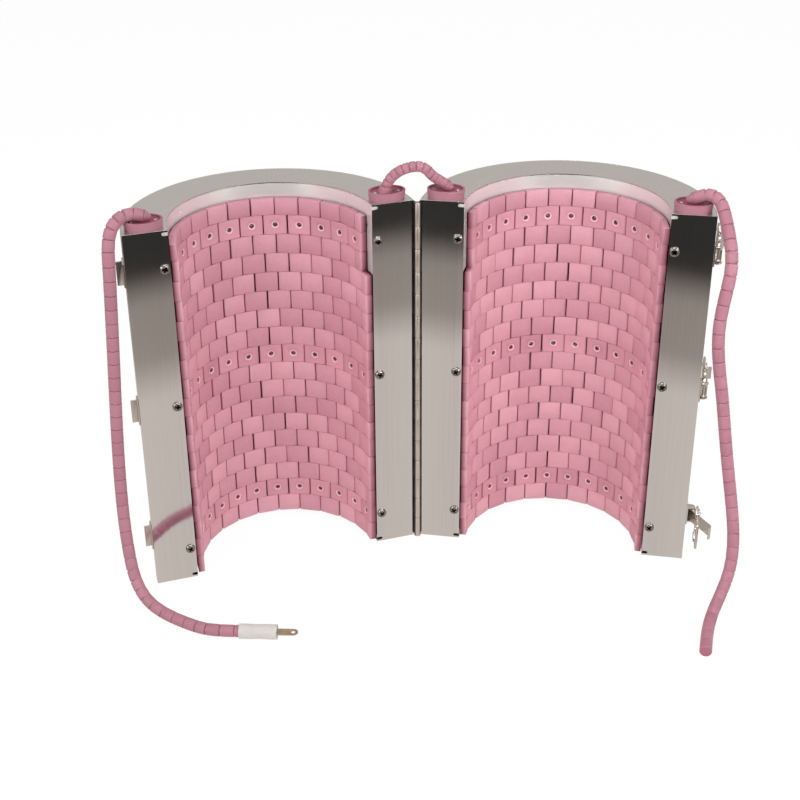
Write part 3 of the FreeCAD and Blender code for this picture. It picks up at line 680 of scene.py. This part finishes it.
def addPad(side):
    facing = 1 if side == "left" else -1
    blanks = {share: tileBlank(share, False, facing) for share in (0.5, 1.0)}
    topBlanks = {share: tileBlank(share, False, facing, True) for share in (0.5, 1.0)}
    drilledBlank, pin = tileBlank(1.0, True, facing), pinBlank()
    plain, drilled, pins = bmesh.new(), bmesh.new(), bmesh.new()
    for row in range(1, tileLayout["rows"] + 1):
        z = tileLayout["padBottom"] + (tileLayout["rows"] + 0.5 - row) * tileLayout["rowPitch"]
        for angle, share in rowAngles(row):
            middle = Matrix.Translation((halfLayout["centreAlong"], halfLayout["centreBack"], z))
            seat = halfMatrix(side) @ middle @ Matrix.Rotation(angle, 4, "Z")
            lean = math.radians(tileLayout["leanDegrees"])
            about = Matrix.Translation((tileBack, 0, 0))
            aside = random.uniform(-tileLayout["looseAside"], tileLayout["looseAside"])
            loose = (
                Matrix.Translation((-random.uniform(0.0, tileLayout["standProud"]), aside, 0)) @ about
                @ Matrix.Rotation(random.uniform(-lean, lean), 4, "Z")
                @ Matrix.Rotation(random.uniform(-lean, lean) / 2, 4, "X") @ about.inverted()
            )
            tone = random.uniform(*tileLayout["tones"])
            if row in tileLayout["drilledRows"] and share == 1.0:
                meshCopy(drilled, drilledBlank, seat @ loose, tone)
                meshCopy(pins, pin, seat, random.uniform(*tileLayout["pinTones"]))
            elif row == 1:
                meshCopy(plain, topBlanks[share], seat @ loose, tone + tileLayout["topPaler"])
            else:
                meshCopy(plain, blanks[share], seat @ loose, tone)
    body = side + "_half"
    for piece, bm, material, node, slot, sharp in (
        ("_pad_tiles", plain, "tilePink", "_plain_tiles", "pink_ceramic", 62),
        ("_pad_drilled_tiles", drilled, "tileRose", "_drilled_tiles", "rose_ceramic", 28),
        ("_pad_pins", pins, "pinClay", "_tie_pins", "white_ceramic", 62),
    ):
        makePiece(side + piece, bm, material, body, [side + node], sharp)


for side in ("left", "right"):
    addPad(side)
print("pads laid")


# Screws with a cross recess
faceScrews = {
    "heights": (29.5, 168.0, 288.5),
    "circle": 86.2,
    "headRadius": 4.1,
    "headHeight": 2.3,
    "shankRadius": 1.9,
    "shankLength": 6.0,
}
coverScrews = {
    "offset": 9.8,
    "headRadius": 2.0,
    "headHeight": 1.3,
    "shankRadius": 1.2,
    "shankLength": 9.6,
    "seat": 5.1,
}


def screwBlank(sizes):  # pan head up, its seat at the origin
    radius, tall = sizes["headRadius"], sizes["headHeight"]
    shank, deep = sizes["shankRadius"], -sizes["shankLength"]
    outline = [
        (0, tall), (0.45 * radius, 0.97 * tall), (0.78 * radius, 0.82 * tall), (0.94 * radius, 0.58 * tall),
        (radius, 0.3 * tall), (radius, 0), (shank, 0), (shank, deep), (0, deep),
    ]
    bm = spun(outline, (0, 0, 1), 28)
    bmesh.ops.recalc_face_normals(bm, faces=bm.faces)
    arms = []
    for turn in (0, math.pi / 2):
        slot = bmesh.new()
        bmesh.ops.create_cube(slot, size=1)
        for vert in slot.verts:
            deep = vert.co.z < 0
            vert.co = (
                vert.co.x * radius * (0.7 if deep else 1.35),
                vert.co.y * radius * (0.26 if deep else 0.4),
                0.2 * tall if deep else 1.2 * tall,
            )
        bmesh.ops.rotate(slot, verts=slot.verts, cent=(0, 0, 0), matrix=Matrix.Rotation(turn, 3, "Z"))
        arms.append(settled(slot, "recess"))
    mesh = settled(bm, "screwBlank", arms)
    # painted shade: the cross recess is marked fully dark
    paintedShade = mesh.attributes.new("paintedShade", "FLOAT", "POINT")
    for vert, mark in zip(mesh.vertices, paintedShade.data):
        inRecess = vert.co.xy.length < 0.5 * radius and 0 < vert.co.z < 0.7 * tall
        mark.value = 1.0 if inRecess else 0.0
    return mesh


def addScrews(side):
    faceBlank, coverBlank = screwBlank(faceScrews), screwBlank(coverScrews)
    body = side + "_half"
    bm = bmesh.new()
    for along in (-1, 1):
        for z in faceScrews["heights"]:
            place = (halfLayout["centreAlong"] + along * faceScrews["circle"], halfLayout["centreBack"], z)
            turned = Matrix.Rotation(math.pi / 2, 4, "X")
            turned = turned @ Matrix.Rotation(random.uniform(0, math.pi / 2), 4, "Z")
            meshCopy(bm, faceBlank, halfMatrix(side) @ Matrix.Translation(place) @ turned)
    makePiece(side + "_face_screw_heads", bm, "screwSteel", body, [side + "_face_screws"], 35)
    bm = bmesh.new()
    top = halfLayout["height"] + coverScrews["seat"]
    for s in bushingLayout["alongHinge"], bushingLayout["alongLatch"]:
        for way in (-1, 1):
            place = (s + way * coverScrews["offset"], bushingLayout["back"], top)
            turned = Matrix.Rotation(random.uniform(0, math.pi / 2), 4, "Z")
            meshCopy(bm, coverBlank, halfMatrix(side) @ Matrix.Translation(place) @ turned)
    node = side + "_cover_screws"
    makePiece(side + "_cover_screw_heads", bm, "wireSteel", body, [node], 35)


# Oval bushings with their tapered necks
bushingLayout = {
    "alongHinge": 20.9,
    "alongLatch": 216.9,
    "back": 15.1,
    "length": 31.0,
    "width": 24.0,
    "height": 7.0,
    "rim": 1.8,
    "recess": 1.5,
    "footShare": 0.95,
    "stem": (14.0, 11.0, 9.0),
    "neckEndHeight": 9.6,
    "neckEndRadius": 5.3,
    "boreRadius": 1.8,
    "boreDepth": 3.0,
    "rimRounding": 0.6,
    "neckRounding": 0.5,
    "tone": 0.3,
}
necks = {  # start radius, length, distance back, tilt
    "left_hinge": (5.4, 7.0, 0.2, 72.0),
    "right_hinge": (2.4, 6.0, 0.0, 34.0),
    "left_latch": (2.4, 6.0, 0.0, 22.0),
    "right_latch": (2.4, 6.0, 0.0, 22.0),
}


def addBushing(side, end):
    startRadius, length, back, tilt = necks[side + "_" + end]
    towards = -1 if end == "hinge" else 1
    bm = bmesh.new()
    made = bmesh.ops.create_circle(bm, cap_ends=True, segments=48, radius=1)
    share = bushingLayout["footShare"] / 2
    foot = (bushingLayout["length"] * share, bushingLayout["width"] * share, 1)
    bmesh.ops.scale(bm, verts=made["verts"], vec=foot)
    upper = pushed(bm, topFace(bm), bushingLayout["height"], keep=True)
    bmesh.ops.scale(bm, verts=upper, vec=(0.5 / share, 0.5 / share, 1))
    top = topFace(bm)
    bmesh.ops.inset_region(bm, faces=[top], thickness=bushingLayout["rim"], use_even_offset=True)
    pushed(bm, top, -bushingLayout["recess"])
    rims = [e for e in sharpEdges(bm) if min(v.co.z for v in e.verts) > 1]
    rounded(bm, rims, bushingLayout["rimRounding"], 3)
    stemLength, stemWidth, stemDepth = bushingLayout["stem"]
    stem = rod(bm, 0.5, stemDepth + 1, 32)
    bmesh.ops.scale(bm, verts=stem, vec=(stemLength, stemWidth, 1))
    bmesh.ops.translate(bm, verts=stem, vec=(0, 0, -(stemDepth - 1) / 2))
    neck = bmesh.new()
    endRadius = bushingLayout["neckEndRadius"]
    bmesh.ops.create_cone(
        neck, cap_ends=True, segments=36, radius1=startRadius, radius2=endRadius, depth=length,
    )
    lip = topFace(neck)
    wall = endRadius - bushingLayout["boreRadius"]
    bmesh.ops.inset_region(neck, faces=[lip], thickness=wall, use_even_offset=True)
    pushed(neck, lip, -bushingLayout["boreDepth"])
    outer = [e for e in sharpEdges(neck) if min(v.co.z for v in e.verts) > length / 2 - 0.1]
    rounded(neck, outer, bushingLayout["neckRounding"], 2)
    way = Vector((towards * math.cos(math.radians(tilt)), 0, math.sin(math.radians(tilt))))
    middle = Vector((-towards * back, 0, bushingLayout["neckEndHeight"])) - way * length / 2
    lay = Matrix.Translation(middle) @ way.to_track_quat("Z", "Y").to_matrix().to_4x4()
    moved(neck, lay)
    bm.from_mesh(settled(neck, "neck"))
    s = bushingLayout["along" + end.capitalize()]
    place = Matrix.Translation((s, bushingLayout["back"], halfLayout["height"]))
    moved(bm, halfMatrix(side) @ place)
    layer = bm.verts.layers.float.new("tone")
    for vert in bm.verts:
        vert[layer] = bushingLayout["tone"]
    node = side + "_" + end + "_bushing"
    makePiece(node + "_fired", bm, "bushingPink", side + "_half", [node], 40)


for side in ("left", "right"):
    addScrews(side)
    for end in ("hinge", "latch"):
        addBushing(side, end)
print("bushings and screws set")


# Beaded leads
leadRoutes = {
    "left_lead": [
        (-0.2139, -0.0390, 0.3296), (-0.2193, -0.0403, 0.3319), (-0.2257, -0.0432, 0.3325),
        (-0.2316, -0.0470, 0.3309), (-0.2364, -0.0510, 0.3258), (-0.2392, -0.0544, 0.3178),
        (-0.2404, -0.0566, 0.3059), (-0.2409, -0.0574, 0.2896), (-0.2424, -0.0575, 0.2621),
        (-0.2447, -0.0572, 0.2221), (-0.2476, -0.0568, 0.1760), (-0.2500, -0.0566, 0.1318),
        (-0.2510, -0.0584, 0.0960), (-0.2504, -0.0636, 0.0666), (-0.2482, -0.0716, 0.0429),
        (-0.2442, -0.0824, 0.0246), (-0.2354, -0.0948, 0.0124), (-0.2210, -0.1066, 0.0064),
        (-0.2020, -0.1196, 0.0050), (-0.1838, -0.1312, 0.0054), (-0.1661, -0.1351, 0.0062),
        (-0.1490, -0.1371, 0.0062),
    ],
    "right_lead": [
        (0.2139, -0.0390, 0.3296), (0.2193, -0.0403, 0.3319), (0.2260, -0.0437, 0.3347),
        (0.2321, -0.0509, 0.3306), (0.2338, -0.0606, 0.3210), (0.2348, -0.0710, 0.3098),
        (0.2354, -0.0806, 0.2998), (0.2342, -0.0876, 0.2848), (0.2297, -0.0908, 0.2634),
        (0.2272, -0.0923, 0.2387), (0.2301, -0.0936, 0.2115), (0.2357, -0.0957, 0.1821),
        (0.2404, -0.0980, 0.1501), (0.2454, -0.1013, 0.1178), (0.2508, -0.1051, 0.0858),
        (0.2542, -0.1106, 0.0570), (0.2520, -0.1183, 0.0320), (0.2430, -0.1282, 0.0147),
        (0.2336, -0.1406, 0.0066), (0.2252, -0.1577, 0.0050), (0.2186, -0.1755, 0.0052),
        (0.2136, -0.1919, 0.0050),
    ],
    "jumper": [
        (-0.0242, 0.0094, 0.3296), (-0.0224, 0.0099, 0.3353), (-0.0144, 0.0085, 0.3426),
        (-0.0058, 0.0070, 0.3461), (0.0026, 0.0071, 0.3468), (0.0086, 0.0077, 0.3435),
        (0.0127, 0.0089, 0.3370), (0.0192, 0.0107, 0.3330), (0.0239, 0.0095, 0.3296),
    ],
}
beadSettings = {
    "radius": 5.0,
    "coreRadius": 4.1,
    "coreSteps": 240,
    "straightLength": 12.0,
    "bendLength": 7.4,
    "gap": 0.25,
    "rounding": 0.8,
    "tightRadius": 22.0,
    "easyRadius": 90.0,
    "jumperShare": 0.86,
    "jumperBead": 5.2,
    "blankLength": 12.0,
    "lookAhead": 4.0,
    "shortestEnd": 2.0,
    "coreInset": 0.5,
    "coreTone": 1.4,
    "tones": (0.05, 0.65),
}


def routePoints(name):  # points along the route's smooth line
    mesh = curveMesh("NURBS", leadRoutes[name], resolution_u=16)
    points = [vert.co.copy() for vert in mesh.vertices]
    bpy.data.meshes.remove(mesh)
    return points


class Track:  # a line of points that can be read by distance
    def __init__(self, points):
        self.points = points
        self.reach = [0.0]
        for first, second in zip(points, points[1:]):
            self.reach.append(self.reach[-1] + (second - first).length)
        self.length = self.reach[-1]

    def at(self, distance):
        distance = min(max(distance, 0.0), self.length)
        i = max(k for k, r in enumerate(self.reach[:-1]) if r <= distance)
        share = (distance - self.reach[i]) / (self.reach[i + 1] - self.reach[i])
        return self.points[i].lerp(self.points[i + 1], share)

    def bend(self, distance, span=0.005):  # radius of the curve there
        before, here, after = (self.at(distance + d) for d in (-span, 0, span))
        turn = (here - before).angle(after - here, 0.0)
        return span / max(turn, 1e-4)


def beadBlank():
    bm = bmesh.new()
    radius, long = beadSettings["radius"], beadSettings["blankLength"]
    rod(bm, radius, long, 24)
    rounded(bm, sharpEdges(bm), beadSettings["rounding"], 3)
    return settled(bm, "beadBlank")


def addLead(name, body):
    isJumper = name == "jumper"
    bendLength = beadSettings["jumperBead"] if isJumper else beadSettings["bendLength"]
    slim = beadSettings["jumperShare"] * mm if isJumper else mm
    track = Track(routePoints(name))
    bead = beadBlank()
    bm = bmesh.new()
    tight, easy = beadSettings["tightRadius"] * mm, beadSettings["easyRadius"] * mm
    at = 0.0
    lengths = []
    while at < track.length - beadSettings["shortestEnd"] * mm:
        turning = track.bend(at + beadSettings["lookAhead"] * mm)
        ease = min(1.0, max(0.0, (turning - tight) / (easy - tight)))
        long = (bendLength + (not isJumper) * ease * (beadSettings["straightLength"] - bendLength)) * mm
        lengths.append(long)
        at += long
    stretch = track.length / sum(lengths)
    at = 0.0
    for long in lengths:
        start, end = track.at(at), track.at(at + long * stretch)
        at += long * stretch
        axis = end - start
        solid = axis.length - beadSettings["gap"] * mm
        size = Matrix.Diagonal((slim, slim, solid / beadSettings["blankLength"], 1))
        spin = Matrix.Rotation(random.uniform(0, math.pi), 4, "Z")
        lay = axis.to_track_quat("Z", "Y").to_matrix().to_4x4() @ spin @ size
        tone = random.uniform(*beadSettings["tones"])
        meshCopy(bm, bead, Matrix.Translation((start + end) / 2) @ lay, tone)
    steps, inset = beadSettings["coreSteps"], beadSettings["coreInset"] * mm
    inner = [track.at(inset + k * (track.length - 2 * inset) / steps) for k in range(steps + 1)]
    core = tubeMesh(inner, beadSettings["coreRadius"] * slim)
    meshCopy(bm, core, Matrix.Identity(4), beadSettings["coreTone"])
    piece = makePiece(name + "_beads", bm, "beadPink", body, [name], 50)
    print(name, "length", round(track.length, 4), "beads", len(lengths))
    return piece, track


leftLead, leftTrack = addLead("left_lead", "left_half")
rightLead, rightTrack = addLead("right_lead", "right_half")
jumper, jumperTrack = addLead("jumper", None)
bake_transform(jumper)


# Glass sleeve and brass tab at the left lead's end
sleeveSettings = {
    "radius": 6.2,
    "length": 31.0,
    "overlap": 8.0,
    "wall": 0.7,
    "flare": 0.25,
    "mouth": 1.4,
    "steps": 16,
    "ripple": 0.12,
    "ripples": 9,
    "braidLength": 12.0,
    "braidsAround": 3,
    "builtBefore": (-0.1764, -0.1412, 0.0062),
    "builtEnd": (-0.1602, -0.1472, 0.0062),
}


def laidAlong(before, last):
    way = (Vector(last) - Vector(before)).to_track_quat("X", "Z").to_matrix().to_4x4()
    return Matrix.Translation(last) @ way


def addSleeve():
    start, end = -sleeveSettings["overlap"], sleeveSettings["length"] - sleeveSettings["overlap"]
    radius, wall = sleeveSettings["radius"], sleeveSettings["wall"]
    steps = sleeveSettings["steps"]
    outline = [(start + 0.2, radius - wall - 0.3)]
    for k in range(steps + 1):
        share = k / steps
        ripple = sleeveSettings["ripple"] * math.sin(sleeveSettings["ripples"] * share)
        swell = ripple - sleeveSettings["flare"] * (0.5 - abs(share - 0.5))
        outline.append((start + share * (end - start), radius + min(0.0, swell)))
    mouth = end - sleeveSettings["mouth"]
    outline += [(end, radius - wall), (mouth, radius - wall - 0.4), (mouth, 0)]
    bm = spun(outline, (1, 0, 0), 36)
    uvLayer = bm.loops.layers.uv.new("UVMap")
    for face in bm.faces:
        turns = [math.atan2(loop.vert.co.y, loop.vert.co.z) / (2 * math.pi) for loop in face.loops]
        wraps = max(turns) - min(turns) > 0.5
        for loop, turn in zip(face.loops, turns):
            around = turn + 1 if wraps and turn < 0 else turn
            along = loop.vert.co.x / sleeveSettings["braidLength"]
            loop[uvLayer].uv = (along, sleeveSettings["braidsAround"] * around)
    lay = laidAlong(*leadRoutes["left_lead"][-2:])
    moved(bm, lay @ Matrix.Scale(mm, 4))
    return makePiece("left_sleeve_braid", bm, "glassSleeve", "left_half", ["left_sleeve"], 50)


sleeve = addSleeve()
tab = dressed("left_terminal", "terminalBrass", "terminal_brass", 0.12, 40)
builtLay = laidAlong(sleeveSettings["builtBefore"], sleeveSettings["builtEnd"])
tab.data.transform(laidAlong(*leadRoutes["left_lead"][-2:]) @ builtLay.inverted())
print("leads strung")


# Hinge: two leaves with rolled knuckles
hingeSettings = {
    "knuckles": 16,
    "endGap": 1.0,
    "knuckleGap": 0.3,
    "knuckleRadius": 2.8,
    "leafInner": 116.85,
    "leafOuter": 117.85,
    "leafWidth": 14.0,
    "edgeRounding": 0.15,
    "shadedBack": 5.0,
    "shadedSide": 0.55,
    "shadedOver": 0.25,
    "webBeyond": 0.4,
    "webShift": 0.1,
}


def shaded(mesh):  # painted shade on the flanks of a knuckle, as dark as the slot beside it
    paintedShade = mesh.attributes.new("paintedShade", "FLOAT", "POINT")
    turn = math.radians(halfLayout["turnDegrees"])
    for vert, mark in zip(mesh.vertices, paintedShade.data):
        across = vert.co.x * math.cos(turn) + vert.co.y * math.sin(turn)
        aside = abs(across) / hingeSettings["knuckleRadius"]
        share = (aside - hingeSettings["shadedSide"]) / hingeSettings["shadedOver"]
        mark.value = min(1.0, max(0.0, share))
    return mesh


def addHingeLeaf(side, first):
    bm = bmesh.new()
    height = halfLayout["height"]
    pitch = (height - 2 * hingeSettings["endGap"]) / hingeSettings["knuckles"]
    inner, outer = hingeSettings["leafInner"], hingeSettings["leafOuter"]
    low, high = hingeSettings["endGap"], height - hingeSettings["endGap"]
    corners = [(inner, low), (outer, low), (outer, high), (inner, high)]
    verts = [bm.verts.new((-r, 0, z)) for r, z in corners]
    sheet = bm.faces.new(verts)
    sweep = math.asin(hingeSettings["leafWidth"] / outer)
    bmesh.ops.spin(
        bm, geom=[sheet], cent=(0, 0, 0), axis=(0, 0, 1), dvec=(0, 0, 0), angle=-sweep, steps=5,
        use_merge=False,
    )
    bmesh.ops.translate(bm, verts=bm.verts, vec=(halfLayout["centreAlong"], halfLayout["centreBack"], 0))
    # painted shade: the leaf's strip nearest the slot, and each web below, are marked fully dark
    paintedShade = bm.verts.layers.float.new("paintedShade")
    for vert in bm.verts:
        vert[paintedShade] = 1.0 if vert.co.y < hingeSettings["shadedBack"] else 0.0
    for i in range(hingeSettings["knuckles"]):
        if i % 2 != first:
            continue
        start = hingeSettings["endGap"] + i * pitch + hingeSettings["knuckleGap"] / 2
        long = pitch - hingeSettings["knuckleGap"]
        radius = hingeSettings["knuckleRadius"]
        knuckle = bmesh.new()
        rod(knuckle, radius, long, 28)
        rounded(knuckle, sharpEdges(knuckle), hingeSettings["edgeRounding"], 2)
        mesh = shaded(settled(knuckle, "knuckle"))
        meshCopy(bm, mesh, Matrix.Translation((0, 0, start + long / 2)))
        web = bmesh.new()
        bmesh.ops.create_cube(web, size=1)
        thick = outer - inner
        near, back = halfLayout["centreAlong"] - outer, halfLayout["centreBack"]
        bmesh.ops.scale(web, verts=web.verts, vec=(thick, back + hingeSettings["webBeyond"], long))
        middle = (near + thick / 2, back / 2 + hingeSettings["webShift"], start + long / 2)
        before = len(bm.verts)
        meshCopy(bm, settled(web, "web"), Matrix.Translation(middle))
        bm.verts.ensure_lookup_table()
        for vert in bm.verts[before:]:
            vert[paintedShade] = 1.0
    moved(bm, halfMatrix(side))
    node = side + "_hinge_leaf"
    makePiece(node + "_rolled", bm, "hingeSteel", side + "_half", [node], 40)


addHingeLeaf("left", 0)
addHingeLeaf("right", 1)
dressed("hinge_pin", "hingeSteel", "bright_steel", 0.3, 40)

# Sheet metal, with the CAD's own shapes and broken edges
sheetFinish = {  # material, slot, width of the broken edge and sharp angle
    "outer_shell": ("shellSteel", "shell_steel", 0.12, 35),
    "top_plate": ("topSteel", "plate_steel", 0.12, 50),
    "bottom_plate": ("topSteel", "plate_steel", 0.12, 50),
    "liner": ("linerSteel", "liner_steel", 0.12, 50),
    "hinge_face_plate": ("flangeSteel", "bright_steel", 0.12, 50),
    "latch_face_plate": ("flangeSteel", "bright_steel", 0.12, 50),
    "fibre_filling": ("packedWool", "ceramic_fibre", 0.6, 40),
    "power_wires": ("wireSteel", "resistance_wire", 0.2, 70),
}
for side in ("left", "right"):
    for name, looks in sheetFinish.items():
        dressed(side + "_" + name, *looks)
for level in ("lower", "middle", "upper"):
    dressed(level + "_keeper", "latchSteel", "bright_steel", 0.2, 40)
    dressed(level + "_latch_base", "latchSteel", "bright_steel", 0.2, 50)
    dressed(level + "_latch_lever", "latchSteel", "bright_steel", 0.2, 50)
dressed("latch_pins", "latchSteel", "screw_steel", 0.2, 50)

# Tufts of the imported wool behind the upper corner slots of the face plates
slotWool = {
    "inset": 3.0,
    "fromEnd": 2.9,
    "back": 1.5,
    "size": (6.4, 1.0, 3.6),
    "roughness": 0.35,
}


def addSlotWool(side):
    bm = bmesh.new()
    for along in (-1, 1):
        s = halfLayout["centreAlong"] + along * (halfLayout["boreRadius"] + slotWool["inset"])
        z = halfLayout["height"] - slotWool["fromEnd"]
        place = Matrix.Translation((s, halfLayout["centreBack"] + slotWool["back"], z))
        made = bmesh.ops.create_cube(bm, size=1)
        bmesh.ops.scale(bm, verts=made["verts"], vec=slotWool["size"])
        bmesh.ops.transform(bm, verts=made["verts"], matrix=place)
    rounded(bm, bm.edges[:], slotWool["roughness"], 2)
    moved(bm, halfMatrix(side))
    makePiece(side + "_slot_wool", bm, "packedWool", side + "_half", (), 60)


for side in ("left", "right"):
    addSlotWool(side)

# Latch bails: bent wire with a draw spring round each leg
bailLayout = {
    "heights": {"lower": 44.0, "middle": 165.0, "upper": 286.0},
    "pivotBack": 6.0,
    "pivotRise": 4.0,
    "offset": 8.0,
    "reach": 31.0,
    "wireRadius": 1.0,
    "halfHeight": 12.0,
    "inside": 4.2,
    "bend": 2.6,
    "openLever": 144.0,
    "openBail": 36.0,
    "springStart": 6.0,
    "springLength": 12.0,
    "springRadius": 1.75,
    "springWire": 0.45,
    "springTurns": 9,
    "stepsPerTurn": 14,
}


def bentPath(corners, bend, steps=6):
    path = [corners[0]]
    for before, corner, after in zip(corners, corners[1:], corners[2:]):
        start = corner + (before - corner).normalized() * bend
        end = corner + (after - corner).normalized() * bend
        for k in range(steps + 1):
            path.append(start.lerp(corner, k / steps).lerp(corner.lerp(end, k / steps), k / steps))
    return path + [corners[-1]]


def swung(along, back, degrees):  # outward and forward about an upright line
    place = Matrix.Translation((along, back, 0))
    return place @ Matrix.Rotation(-math.radians(degrees), 4, "Z") @ place.inverted()


def addBail(level, isOpen):
    radius, pivotBack = halfLayout["outerRadius"], bailLayout["pivotBack"]
    along = halfLayout["centreAlong"] + math.sqrt(radius ** 2 - pivotBack ** 2) + bailLayout["pivotRise"]
    pivot = halfLayout["centreBack"] + pivotBack
    start = pivot + bailLayout["offset"]
    end = start + bailLayout["reach"]
    z, half, inside = bailLayout["heights"][level], bailLayout["halfHeight"], bailLayout["inside"]
    places = [(start, -inside), (start, -half), (end, -half), (end, half), (start, half), (start, inside)]
    corners = [Vector((along, back, z + up)) for back, up in places]
    bm = bmesh.new()
    bm.from_mesh(tubeMesh(bentPath(corners, bailLayout["bend"]), bailLayout["wireRadius"]))
    perTurn = bailLayout["stepsPerTurn"]
    steps = perTurn * bailLayout["springTurns"]
    for leg in (-half, half):
        coil = []
        for k in range(steps + 1):
            turn = 2 * math.pi * k / perTurn
            out, up = (bailLayout["springRadius"] * way(turn) for way in (math.cos, math.sin))
            back = start + bailLayout["springStart"] + bailLayout["springLength"] * k / steps
            coil.append(Vector((along + out, back, z + leg + up)))
        bm.from_mesh(tubeMesh(coil, bailLayout["springWire"]))
    if isOpen:
        lay = swung(along, pivot, bailLayout["openLever"]) @ swung(along, start, bailLayout["openBail"])
        moved(bm, lay)
    moved(bm, halfMatrix("right"))
    node = level + "_latch_bail"
    makePiece(node + "_sprung", bm, "latchSteel", level + "_bail", [node], 40)


for level in ("lower", "middle", "upper"):
    addBail(level, level == "lower")
print("sheet metal and latches dressed")


# Stage: a pale floor, white to the camera, and what polished steel sees of it
stageSettings = {
    "floorRadius": 9.0,
    "floorLevel": -0.0004,
    "floorColour": (0.90, 0.89, 0.88),
    "whiteShare": 0.50,
    "cameraWhiteShare": 0.90,
    "cameraWhite": 1.04,
    "acrossShare": 0.6,
    "reflectedTones": [  # distance in front of the heater, then the tone that steel reflects there
        (0.37, (0.68, 0.61, 0.56)),
        (0.46, (0.36, 0.315, 0.28)),
        (0.60, (0.34, 0.30, 0.265)),
        (0.70, (0.035, 0.033, 0.03)),
    ],
    "darkHalfWidth": (0.50, 0.70),
    "skyTone": (0.58, 0.55, 0.525),
    "worldLight": 0.46,
}


def reflectedTone(tree, settings):  # dark room seen beyond a pale table, narrower than the table
    place = placeOnObject(tree)
    squashed = calculate(tree, "MULTIPLY", place, (settings["acrossShare"], 1, 0), kind="VectorMath")
    apart = newNode(tree, "VectorMath", {"operation": "LENGTH"}, Vector=squashed).outputs["Value"]
    ramp = newNode(tree, "ValToRGB", Fac=apart)
    while len(ramp.color_ramp.elements) < len(settings["reflectedTones"]):
        ramp.color_ramp.elements.new(0.5)
    for element, (distance, tone) in zip(ramp.color_ramp.elements, settings["reflectedTones"]):
        element.position = distance
        element.color = (*tone, 1)
    across = calculate(tree, "ABSOLUTE", newNode(tree, "SeparateXYZ", Vector=place).outputs["X"])
    near, far = settings["darkHalfWidth"]
    aside = newNode(
        tree, "MapRange", {"interpolation_type": "SMOOTHSTEP"}, Value=across, From_Min=near, From_Max=far,
    )
    return mixColours(tree, aside.outputs["Result"], ramp.outputs["Color"], settings["reflectedTones"][0][1])


def addFloor(settings):
    bm = bmesh.new()
    bmesh.ops.create_circle(bm, cap_ends=True, segments=64, radius=settings["floorRadius"])
    floor = addObject("studioFloor", settled(bm, "studioFloor"))
    floor.location.z = settings["floorLevel"]
    colour = (*settings["floorColour"], 1)
    material, tree, shader = startMaterial(
        "paleFloor", Base_Color=colour, Roughness=0.9, Specular_IOR_Level=0.0,
    )
    glows = []
    for share, strength in (
        (settings["whiteShare"], 1.0),
        (settings["cameraWhiteShare"], settings["cameraWhite"]),
    ):
        glow = newNode(tree, "Emission", Strength=strength).outputs["Emission"]
        glows.append(mixShaders(tree, share, shader.outputs["BSDF"], glow))
    path = newNode(tree, "LightPath").outputs
    seen = newNode(tree, "Emission", Color=reflectedTone(tree, settings)).outputs["Emission"]
    current = mixShaders(tree, path["Is Camera Ray"], *glows)
    current = mixShaders(tree, path["Is Glossy Ray"], current, seen)
    feed(tree, tree.nodes["Material Output"].inputs["Surface"], current)
    floor.data.materials.append(material)


def addWorld(settings):
    world = bpy.data.worlds.new("studio")
    bpy.context.scene.world = world
    world.use_nodes = True
    tree = world.node_tree
    plain = tree.nodes["Background"]
    plain.inputs["Color"].default_value = (1, 1, 1, 1)
    plain.inputs["Strength"].default_value = settings["worldLight"]
    path = newNode(tree, "LightPath").outputs
    current = plain.outputs["Background"]
    for ray, tone in (("Is Glossy Ray", settings["skyTone"]), ("Is Camera Ray", (1, 1, 1))):
        backdrop = newNode(tree, "Background", Color=(*tone, 1)).outputs["Background"]
        current = mixShaders(tree, path[ray], current, backdrop)
    feed(tree, tree.nodes["World Output"].inputs["Surface"], current)


lampSettings = {  # place, aim, size, power in watts and spread in degrees
    "softTop": ((-0.1, -0.3, 1.9), (0, 0, 0.15), 1.4, 12.0, 180),
    "frontLeft": ((-1.5, -1.3, 1.0), (0, 0, 0.15), 0.9, 11.0, 180),
    "frontRight": ((1.2, -1.3, 1.0), (0, 0, 0.15), 0.6, 10.0, 180),
    "rightPad": ((0.65, -1.4, 0.9), (0.15, 0.06, 0.17), 0.4, 0.10, 20),
}


def addLamps(settings):
    for name, (place, aim, size, power, spread) in settings.items():
        data = bpy.data.lights.new(name, "AREA")
        data.shape = "DISK"
        data.size = size
        data.energy = power
        data.spread = math.radians(spread)
        lamp = addObject(name, data)
        turn = (Vector(aim) - Vector(place)).to_track_quat("-Z", "Y")
        lamp.matrix_world = Matrix.Translation(place) @ turn.to_matrix().to_4x4()


addFloor(stageSettings)
addWorld(stageSettings)
addLamps(lampSettings)
bpy.context.scene.view_settings.view_transform = "Standard"
print("stage lit")
